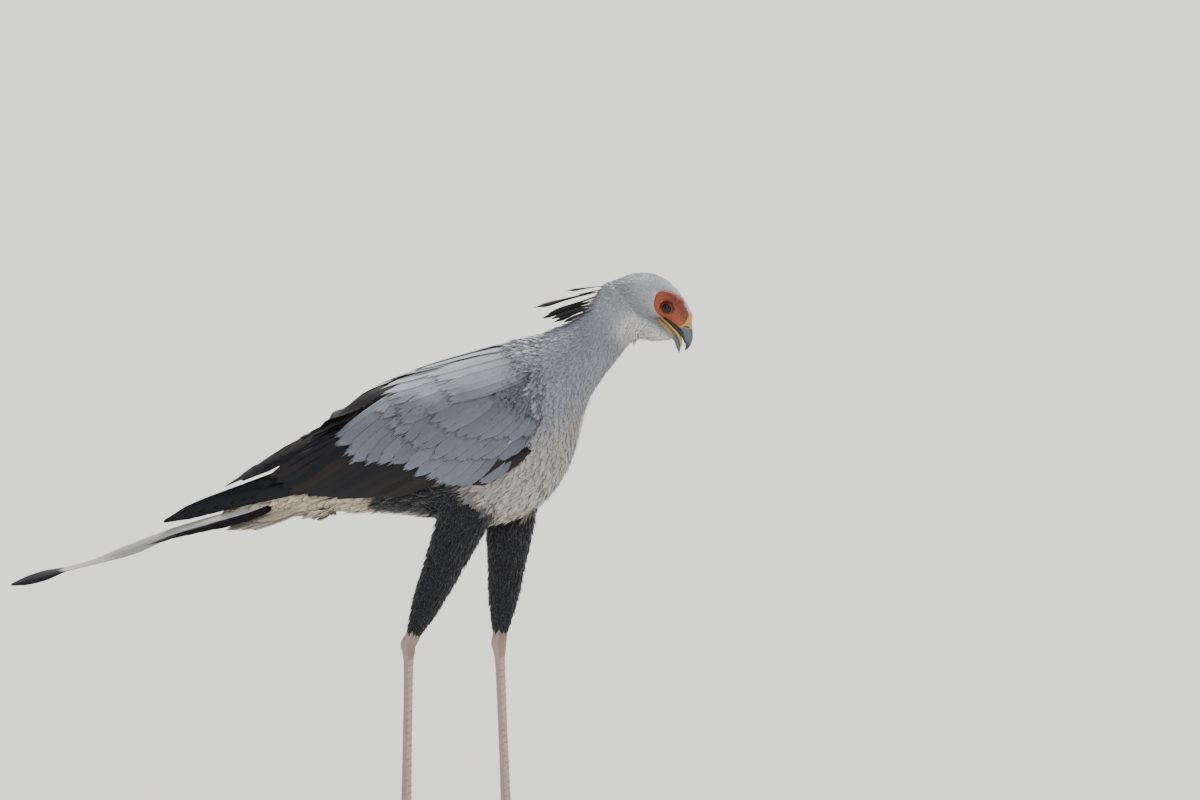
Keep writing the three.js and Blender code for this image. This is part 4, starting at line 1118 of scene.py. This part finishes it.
# The crest: plumes from the nape. Each row is root x, z and tip x, z in side view, the bend of its shaft, its
# spread to the side and its half width.
plumes = np.array([
    [425, 921, 366, 914, 1, 3, 3.6], [425, 913, 311, 886, 2, -6, 5.6], [424, 910, 350, 881, -2, 15, 5.4],
    [422, 905, 334, 876, 2, -17, 5.6], [420, 900, 323, 867, 2, 8, 5.8], [417, 893, 339, 868, 1, -26, 5],
    [417, 893, 346, 871, 1, 26, 5], [414, 888, 352, 866, 2, -11, 5.2], [412, 884, 344, 860, 3, 17, 5.4],
    [410, 881, 360, 862, 3, -32, 4.4], [424, 916, 380, 905, 1, -10, 3.4], [418, 896, 362, 880, 2, 2, 4.2],
])
crest = {"buried": 14, "roll": math.radians(38), "pale": (0.30, 0.25, 0.22)}


def makeCrest():
    look = looks["plume"]
    v = look["v"][None, :, None]
    root, tip, bend, spread = plumes[:, 0:2], plumes[:, 2:4], plumes[:, 4:5], plumes[:, 5:6]
    root = root + unit(root - tip) * crest["buried"]
    line = root[:, None] * (1 - v) + tip[:, None] * v
    line[..., 1] += 4 * bend * (v * (1 - v))[..., 0]
    centres = np.stack([line[..., 0], spread * (0.6 + 0.4 * v[..., 0]), line[..., 1]], -1) * mm
    roll = crest["roll"] * np.sign(spread) + 0 * line[..., 0]
    dark = mixTint(("black", "brownBlack"), len(plumes), 0.1)[:, None]
    pale = (smooth(0.45, 0.1, look["v"]) * 0.55)[None, :, None]
    group = {"centres": centres, "up": aboveLine(centres), "roll": roll, "half": plumes[:, 6] * mm,
             "tint": dark * (1 - pale) + np.array(crest["pale"]) * pale,
             "length": np.linalg.norm(tip - root, axis=-1) * mm,
             "uv": np.stack([0.3 + 0.02 * np.arange(len(plumes)), np.full(len(plumes), 0.94)], -1)}
    layVanes("crest_plumes", group, look, "crest")


# The head's bare parts, in the head's own frame: x along the bill's way, z up from eye level, in mm.

eye = {"side": 25.4, "radius": 10.4, "opening": 8.2, "lidEdge": 9.3}
faceColours = {"skin": (0.37, 0.078, 0.028), "front": (0.47, 0.175, 0.052), "brow": (0.13, 0.026, 0.026),
               "lid": (0.018, 0.013, 0.012)}


# A point's depth on the skull: y = half * sqrt(1 - ((z - middle) / high)^2) at each place along the head.
def skullSide(x, z):
    rows = fineRows(np.array(head["skull"], float), 8)
    top, low, half = (readAt(rows, x, k) for k in (1, 2, 3))
    return half * np.sqrt(np.clip(1 - ((2 * z - top - low) / (top - low)) ** 2, 0.04, 1))


# The distance from the eye to the face's outline at each angle, the nearest crossing of its straight edges.
def outlineReach(angle, outline):
    reach = np.full(angle.shape, 1e9)
    c, s = np.cos(angle), np.sin(angle)
    outline = np.array(outline, float)
    for (ax, az), (bx, bz) in zip(outline, np.roll(outline, -1, axis=0)):
        cross = c * (bz - az) - s * (bx - ax)
        cross = np.where(np.abs(cross) < 1e-9, 1e-9, cross)
        far = (ax * (bz - az) - az * (bx - ax)) / cross
        share = (ax * s - az * c) / cross
        reach = np.where((far > 0) & (share >= 0) & (share <= 1) & (far < reach), far, reach)
    return reach


def headPoints(x, y, z, side):
    return onHead(np.stack([x, side * y, z], -1) * mm)


# A bare patch round each eye: polar rings from the lid's edge on the eyeball out to the feathers.
# Its height over the skull is lid fold + brow ridge + wrinkles round the eye; its rim dips under the coat.
def makeFace(side, sideName):
    angle = fullTurn(220)[None, :]
    share = np.linspace(0, 1, 90)[:, None] ** 1.15
    reach = outlineReach(angle, head["face"])
    reach = sum(np.roll(reach, k, axis=1) for k in range(-4, 5)) / 9 + 0.8
    reach = reach + 2.4 * smooth(0.75, 0.3, np.cos(angle))
    r = eye["opening"] + (reach - eye["opening"]) * share
    x, z = r * np.cos(angle), r * np.sin(angle) * (1 - 0.10 * smooth(14, 8, r))
    ball = eye["side"] + np.sqrt(np.maximum(eye["radius"] ** 2 - r**2, 1.0)) + 0.5
    skull = skullSide(x, z)
    near = smooth(eye["lidEdge"] + 5, eye["opening"] + 0.4, r)
    y = skull + (ball - skull) * near + 1.3 * np.exp(-((r - eye["lidEdge"]) ** 2))
    y = y + 3.0 * np.exp(-(((angle - 1.75) / 0.8) ** 2)) * np.exp(-(((r - 12.0) / 2.4) ** 2))
    where = np.stack([x, z, 0 * x], -1)
    folds = np.sin(r * 2.5 + 1.3 * ripple(where, 9, 21)) * smooth(9.5, 11.5, r) * smooth(26, 13, r)
    y = y + 0.30 * folds + 0.35 * ripple(where, 4.0, 22) * smooth(9, 13, r) + 0.9
    y = y - 4.5 * smooth(reach - 5.0, reach, r) ** 1.3
    corners = 2.6 * np.cos(angle) ** 6
    lid = smooth(eye["lidEdge"] + 1.9 + corners, eye["lidEdge"] + 0.5 + corners, r)
    mottle = smooth(2, 20, z + 0.35 * x + 6 * ripple(where, 7, 23))
    tint = blendTo(np.array(faceColours["skin"]), faceColours["front"], smooth(18, 42, x))
    # The wrinkles' ridges are painted lighter and their troughs darker, a painted light and shade.
    tint = blendTo(tint, faceColours["brow"], 0.85 * mottle) * (1 + 0.22 * folds[..., None])
    faces = gridQuads(*x.shape, True)
    addPiece(f"face_{sideName}", headPoints(x, y, z, side), [faces[:, ::-1] if side < 0 else faces], "face",
             tint=blendTo(tint, faceColours["lid"], lid))


# The eyeball, a sphere about an axis straight out to the side.
def makeEye(side, sideName):
    turn, down = fullTurn(64)[None, :], np.linspace(0.02, math.pi - 0.02, 40)[:, None]
    x, z = eye["radius"] * np.sin(down) * np.cos(turn), eye["radius"] * np.sin(down) * np.sin(turn)
    bulge = 0.5 * np.exp(-((x**2 + z**2) / 30))
    y = eye["side"] + eye["radius"] * np.cos(down) + np.where(np.cos(down) > 0, bulge, 0)
    ball = headPoints(x, y + 0 * turn, z, side)
    addLoft(f"eyeball_{sideName}", ball, "eye", (f"eye_{sideName}",))


# Stiff lashes along the upper lid and brow, each a thin flat hair curving out and up.
def makeLashes(side, sideName):
    look = looks["lash"]
    count = 22
    angle = np.linspace(0.55, 2.7, count) + dice.uniform(-0.04, 0.04, count)
    long = (6.5 + 3.5 * np.sin(np.linspace(0, math.pi, count))) * dice.uniform(0.8, 1.1, count)
    v = look["v"][None, :]
    r = eye["lidEdge"] + 0.4 + dice.uniform(0, 1.2, count)[:, None] + long[:, None] * 0.55 * v
    lean = angle[:, None] + 0.28 * v * np.sign(angle - 1.2)[:, None]
    x, z = r * np.cos(lean), r * np.sin(lean)
    y = 32.6 + 0.65 * long[:, None] * v**1.3 + 0 * r
    centres = headPoints(x, y, z, side)
    up = unit(np.gradient(centres, axis=1)[..., [2, 1, 0]] + np.array([0.1, side, 0.2]))
    uv = np.stack([0.7 + 0.004 * np.arange(count), 0.9 + 0 * angle], -1)
    group = {"centres": centres, "up": up, "half": np.full(count, 0.38 * mm), "length": long * mm,
             "tint": np.full((count, 3), 0.012), "uv": uv}
    layVanes(f"lashes_{sideName}", group, look, "lash")


bill = {
    "upper": [
        [28, 20, 24, -13, 16.5], [35, 21.5, 29, -14, 16.8], [41, 19.5, 34, -14.3, 16],
        [47, 12, 41, -15, 13.4], [54, 4.5, 49, -17, 11], [62, -1.8, 56, -20, 8.8],
        [68.5, -8.5, 61, -22.5, 6.5], [72.5, -17, 65.5, -25.5, 4.2], [74.5, -25.5, 69, -29, 2.2],
        [73.2, -33, 72, -33.4, 0.5],
    ],
    "lower": [
        [-10, -20.2, -9, -26, 9], [8, -20.2, 10, -31, 13.2], [25, -20.8, 27, -32, 12],
        [40, -22.2, 40, -33, 10], [50, -25, 48, -34.2, 8], [58, -29.8, 54.5, -37.6, 5.6],
        [64, -35.8, 60.5, -40.5, 3], [68.6, -42.6, 68, -43.4, 0.5],
    ],
    "tongue": [
        [-6, -17, -6, -21.5, 5], [20, -16, 20, -22, 8], [40, -16.8, 39, -23.5, 7],
        [54, -21.2, 52, -27.5, 5], [61.5, -28, 59.5, -32, 3], [64.4, -33.8, 63, -36, 0.6],
    ],
    "palate": [
        [-8, -11, -8, -17, 8], [16, -11, 16, -16.2, 12.5], [36, -11, 34, -16.2, 13.2],
        [48, -12, 44, -17.6, 10.8], [57, -15, 51, -19.8, 7.6], [63, -19, 57, -22, 5],
        [68, -23, 62, -24.6, 2.5],
    ],
    "nostril": [(43, -4.6), (50.5, 0.6)],
    "cere": (0.54, 0.30, 0.09),
    "horn": (0.105, 0.118, 0.15),
    "hook": (0.035, 0.035, 0.045),
    "olive": (0.36, 0.235, 0.095),
    "lowerTip": (0.095, 0.10, 0.12),
}


# How far a point lies past the cere's front edge, a line just under the nostril: 0.57 x - 0.82 z.
def pastCere(x, z):
    return 0.57 * (x - 43) - 0.82 * (z + 4.6) - 2.2 + 0.4 * np.sin(z * 0.9)


# Short pale feathers over the root of the bill. Each lies back along the cere with its tip lifted.
forelock = {"tries": 2600, "behindCere": 16, "above": 2, "front": 0.572, "length": (3.2, 5.2), "lift": 0.3}


def makeForelock():
    look = looks["tiny"]
    rings = onHead(ovalRings(fineRows(bill["upper"], 16), 160, -0.4, 0.25) * mm)
    u, v = dice.uniform(0.02, 0.5, forelock["tries"]), dice.uniform(0, 1, forelock["tries"])
    seat = sampleRings(rings, u, v, True)
    local = inHead(seat) / mm
    keep = (pastCere(local[:, 0], local[:, 2]) < -forelock["behindCere"]) & (faceMask(seat) < 0)
    keep &= (local[:, 2] > forelock["above"]) & (seat[:, 0] < forelock["front"])
    seat, u, v = seat[keep], u[keep], v[keep]
    count = len(seat)
    ahead = unit(sampleRings(rings, u - 0.01, v, True) - sampleRings(rings, u + 0.01, v, True))
    ahead = unit(ahead + 0.25 * dice.normal(size=(count, 3)))
    middle = onHead(np.stack([local[keep, 0], 0 * u, local[keep, 2] - 14], -1) * mm)
    up = unit(seat - middle)
    length = dice.uniform(*forelock["length"], count) * mm
    share = look["v"][None, :, None]
    s = share * length[:, None, None]
    centres = seat[:, None] + ahead[:, None] * s + up[:, None] * (forelock["lift"] * s * share)
    # The forelock takes the crown's white of painted sunlight.
    tint = np.array(plumage["sunlitCrown"]) * dice.uniform(0.9, 1.1, (count, 1))
    uv = np.stack([0.3 + 0.1 * u, 0.80 + 0.08 * v], -1)
    up = np.repeat(up[:, None], len(look["v"]), 1)
    group = {"centres": centres, "up": up, "half": length * look["slim"], "length": length, "tint": tint,
             "uv": uv}
    layVanes("forelock", group, look, "body")


# The bill's halves: oval lofts in the head's frame. The upper one has a swollen cere, a groove at its front
# edge, a slit nostril pressed in on each side and a keel that sharpens towards the hook.
def makeBill():
    rows = fineRows(bill["upper"], 16)
    rings = ovalRings(rows, 160, 0.0, 0.25)
    x, z = rings[..., 0], rings[..., 2]
    out = unit(rings - rings.mean(1, keepdims=True))
    past = pastCere(x, z)
    cere = smooth(0.9, -0.9, past)
    (ax, az), (bx, bz) = bill["nostril"]
    t = np.clip(((x - ax) * (bx - ax) + (z - az) * (bz - az)) / ((bx - ax) ** 2 + (bz - az) ** 2), 0, 1)
    slit = np.hypot(x - ax - t * (bx - ax), z - az - t * (bz - az))
    onSide = smooth(0.35, 0.6, np.abs(out[..., 1]))
    hole = smooth(1.5, 0.5, slit) * onSide
    rim = np.exp(-(((slit - 2.0) / 0.8) ** 2)) * onSide
    lift = 0.7 * cere - 0.5 * np.exp(-((past / 0.8) ** 2)) + 0.35 * rim - 3.0 * hole
    lift = lift + 0.10 * ripple(rings, 5, 31) + 0.18 * np.sin(x * 1.5 + z) * (1 - cere)
    shape = rings + out * (lift * smooth(1.0, 4.0, rows[:, 4])[:, None])[..., None]
    hook = smooth(60, 73, x) * smooth(-10, -24, z)
    # The nostril's pressed-in slit takes the hook's dark horn, a painted shade in the opening.
    tint = blendTo(blendTo(np.array(bill["horn"]), bill["cere"], cere), bill["hook"], np.maximum(hook, hole))
    addLoft("upper_bill", onHead(shape * mm), "bill", ("bill_upper",), tint)

    rings = ovalRings(fineRows(bill["lower"], 14), 96)
    shape = rings + unit(rings - rings.mean(1, keepdims=True)) * (0.15 * ripple(rings, 6, 33))[..., None]
    tint = blendTo(np.array(bill["olive"]), bill["lowerTip"], smooth(30, 48, rings[..., 0]))
    addLoft("lower_bill", onHead(shape * mm), "bill", ("bill_lower",), tint)
    # The palate's loft, painted near black, stands for the shade along the gape under the upper bill.
    edge, tongue = (onHead(ovalRings(fineRows(bill[k], 8), 40) * mm) for k in ("palate", "tongue"))
    addLoft("upper_bill_edge", edge, "gapeShade")
    addLoft("tongue_and_palate", tongue, "tongue", ("tongue",))


# Legs and feet. Sizes in mm; the shank runs from inside the thigh's end through the heel joint to the foot.

shank = {
    "above": [[-0.085, 11.8, 10.2], [-0.04, 12.6, 11.0]],  # share of knee to heel, depth, width
    "below": [
        [0.0, 12.5, 10.5], [0.045, 10.8, 9.2], [0.11, 8.3, 7.1], [0.3, 7.6, 6.5], [0.6, 7.6, 6.5],
        [0.88, 8.4, 7.2], [0.97, 10, 9], [1.0, 10.5, 9.6],
    ],
    "scutes": 26,
    "step": 1.0,
    "front": (0.56, 0.37, 0.31),
    "back": (0.42, 0.29, 0.26),
}
foot = {
    "floorGap": 0.3 * mm,
    "claw": (0.045, 0.038, 0.034),
    "pad": [[0.6, 8.5], [3, 12], [9, 12.4], [14, 11], [19, 9.4], [23, 8.4]],
    "toes": {
        "middle": {"turn": 0, "long": 72, "radius": 8.2, "claw": 21},
        "inner": {"turn": -32, "long": 50, "radius": 7.8, "claw": 22},
        "outer": {"turn": 30, "long": 54, "radius": 7.6, "claw": 18},
        "hind": {"turn": 172, "long": 27, "radius": 6.8, "claw": 19},
    },
}


# A saw-toothed lift: each scute rises to its lower edge and drops to the next, fading round to the back.
def scuteLift(place, count, facing):
    share = (place * count) % 1
    tooth = share**0.8 * smooth(1.0, 0.90, share)
    return tooth * smooth(-0.5, 0.3, facing)


def makeShank(side, sideName):
    leg = legs[side]
    knee, heel = joint(side, "knee"), joint(side, "heel")
    sole = np.array([leg["foot"][0], side * leg["foot"][1], 15.0])
    upper = [[*(heel + (knee - heel) * -t), deep, wide, t] for t, deep, wide in shank["above"]]
    lower = [[*(heel + (sole - heel) * t), deep, wide, t] for t, deep, wide in shank["below"]]
    rows = fineRows(upper + lower, 34)
    place = rows[:, 5]
    angle = fullTurn(72)
    rings = limbRings(rows[:, :3] * mm, rows[:, 3] * mm, rows[:, 4] * mm, len(angle))
    facing = np.cos(angle)[None, :] * np.sign((rings[0, 0] - rings[0, len(angle) // 2])[0])
    wander = place[:, None] + 0.004 * np.sin(2 * angle)[None, :]
    lift = shank["step"] * scuteLift(wander, shank["scutes"], facing) * smooth(0.06, 0.11, place)[:, None]
    out = unit(rings - rings.mean(1, keepdims=True))
    knob = 1.4 * np.exp(-((place / 0.03) ** 2))[:, None] * (1 - facing) * 0.5
    shape = rings + out * ((lift + knob + 0.35 * ripple(rings * 1000, 14, 41)) * mm)[..., None]
    tint = blendTo(np.array(shank["back"]), shank["front"], smooth(-0.4, 0.4, facing + 0 * lift))
    # painted shade: the front of the shank darkened in the groove at the foot of each scute
    grooveShade = smooth(0.30, 0.0, lift / shank["step"]) * smooth(-0.4, 0.1, facing)
    tint = tint * (1 - 0.45 * grooveShade + 0.08 * ripple(rings * 1000, 60, 43))[..., None]
    addLoft(f"leg_{sideName}", shape, "leg", (f"shank_{sideName}",), tint)


# Level rings' outward ways at each angle, square to a level way ahead and flattened to the given share.
def ringWays(ahead, angle, flatness):
    across = unit(np.cross(upwards, ahead))
    return across[None, :] * np.sin(angle)[:, None] * flatness + upwards * np.cos(angle)[:, None]


# A toe: rings along a low arch, its radius swelling at three pads below, with scutes across its top.
def makeToe(side, sideName, name, toe):
    leg = legs[side]
    turn = math.radians(leg["turn"] - side * toe["turn"])
    ahead = np.array([math.cos(turn), math.sin(turn), 0.0])
    start = np.array([leg["foot"][0], side * leg["foot"][1], 0.0])
    t = np.linspace(0, 1, 130)
    joints = 0.5 - 0.5 * np.cos(t * 2 * math.pi * 3)
    radius = toe["radius"] * (1 - 0.46 * t) * (0.88 + 0.15 * joints) * np.sqrt(np.clip(1.02 - t**9, 0.03, 1))
    high = radius * 0.98 + 1.5 * np.sin(math.pi * np.clip(t * 1.1, 0, 1)) * (1 - t)
    line = start + ahead * (t * toe["long"])[:, None] + upwards * high[:, None]
    angle = fullTurn(40)
    ring = ringWays(ahead, angle, 0.96)
    rings = (line[:, None] + ring[None] * radius[:, None, None]) * mm
    rise = np.cos(angle)[None, :]
    lift = 0.75 * scuteLift(t[:, None] + 0 * rise, int(toe["long"] / 5.2), rise)
    shape = rings + ring[None] * (lift + 0.2 * ripple(rings * 1000, 7, 47))[..., None] * mm
    shape[..., 2] = np.maximum(shape[..., 2], foot["floorGap"])
    # painted shade in the groove at the foot of each scute, across the toe's top
    tint = np.array(shank["front"]) * (1 - 0.4 * smooth(0.25, 0.0, lift) * smooth(0.1, 0.4, rise))[..., None]
    # painted shade: the toe darker underneath
    tint = tint * (0.85 + 0.15 * smooth(-0.8, 0.2, rise + 0 * lift))[..., None]
    addLoft(f"toe_{sideName}_{name}", shape, "leg", tint=tint)

    t = np.linspace(0, 1, 40)
    base = radius[-30]
    forward = toe["long"] - 7.5 + (toe["claw"] + 6.0) * t * (1.06 - 0.06 * t)
    drop = base + 1.4 * t + (0.9 - base - 1.4) * t**2.2
    line = start + ahead * forward[:, None] + upwards * drop[:, None]
    girth = 0.80 * base * np.sqrt(np.clip(1 - t**1.6, 0.004, 1)) * (1 - 0.25 * t)
    shape = (line[:, None] + ringWays(ahead, fullTurn(24), 0.8)[None] * girth[:, None, None]) * mm
    shape[..., 2] = np.maximum(shape[..., 2], foot["floorGap"])
    tint = np.ones(shape.shape) * np.array(foot["claw"]) * (1.6 - 0.9 * t)[:, None, None]
    addLoft(f"claw_tip_{sideName}_{name}", shape, "claw", (f"claw_{sideName}_{name}",), tint)


def makeFoot(side, sideName):
    leg = legs[side]
    rows = fineRows(foot["pad"], 10)
    line = np.stack([leg["foot"][0] + 0 * rows[:, 0], side * leg["foot"][1] + 0 * rows[:, 0], rows[:, 0]], -1)
    angle = fullTurn(64)
    ring = np.stack([np.cos(angle), np.sin(angle), 0 * angle], -1)
    shape = line[:, None] + ring[None] * rows[:, 1][:, None, None]
    shape = shape + ring[None] * (0.35 * ripple(shape, 8, 49))[..., None]
    tint = np.ones(shape.shape) * np.array(shank["front"]) * 0.9
    addLoft(f"sole_{sideName}", shape * mm, "leg", (f"foot_{sideName}",), tint)
    for name, toe in foot["toes"].items():
        makeToe(side, sideName, name, toe)


# Setting: a pale floor, soft daylight from above and behind, and the camera level with the bird's chest.

setting = {
    "floor": rgb(0.68, 0.68, 0.66),
    "floorSpan": 150.0,
    "world": (0.82, 0.90, 1.0, 1.0),
    "worldStrength": 0.55,
    "key": {"turn": (-36, 14, 0), "power": 6.0, "colour": (1.0, 0.96, 0.90), "size": 7},
    "fill": {"turn": (60, 0, 14), "power": 0.9, "colour": (0.97, 0.98, 1.0), "size": 25},
    "target": (0.422, 0.0, 0.728),
    "distance": 25.0,
    "elevation": math.radians(3.5),
    "lens": 441.0,
}


def makeSun(name, sun):
    light = bpy.data.lights.new(name, "SUN")
    light.energy = sun["power"]
    light.color = sun["colour"]
    light.angle = math.radians(sun["size"])
    putInScene(name, light).rotation_euler = tuple(math.radians(a) for a in sun["turn"])


def makeSetting():
    span = setting["floorSpan"]
    corners = np.array([[-span, -span, 0], [span, -span, 0], [span, span, 0], [-span, span, 0]])
    mesh = bpy.data.meshes.new("studio_floor")
    mesh.from_pydata(corners.tolist(), [], [(0, 1, 2, 3)])
    floor = putInScene("studio_floor", mesh)
    paint = Paint("studio_floor")
    mesh.materials.append(paint.finish({"Base Color": setting["floor"], "Roughness": 0.85}))
    world = bpy.data.worlds.new("daylight")
    world.use_nodes = True
    sky = world.node_tree.nodes["Background"].inputs
    sky["Color"].default_value, sky["Strength"].default_value = setting["world"], setting["worldStrength"]
    bpy.context.scene.world = world
    makeSun("key_sun", setting["key"])
    makeSun("fill_sun", setting["fill"])
    camera = bpy.data.cameras.new("camera")
    camera.lens = setting["lens"]
    camera.sensor_width = 36.0
    camera.clip_end = 1000.0
    seat = putInScene("camera", camera)
    tx, ty, tz = setting["target"]
    away, rise = setting["distance"], setting["elevation"]
    seat.location = (tx, ty - away * math.cos(rise), tz + away * math.sin(rise))
    seat.rotation_euler = (math.pi / 2 - rise, 0, 0)
    bpy.context.scene.camera = seat


paints["eye"] = eyePaint(*head["eye"])
skin = makeSkin()
tintSkin(skin)
makeCoat(skin)
print("coat laid")
for side, sideName in sideNames.items():
    for index, tier in enumerate(tiers):
        makeTier(side, sideName, tier, index)
    makePrimaries(side, sideName)
    makeFace(side, sideName)
    makeEye(side, sideName)
    makeLashes(side, sideName)
    makeShank(side, sideName)
    makeFoot(side, sideName)
print("wings, faces and legs made")
makeTail()
makeCrest()
makeBill()
makeForelock()
makeSetting()
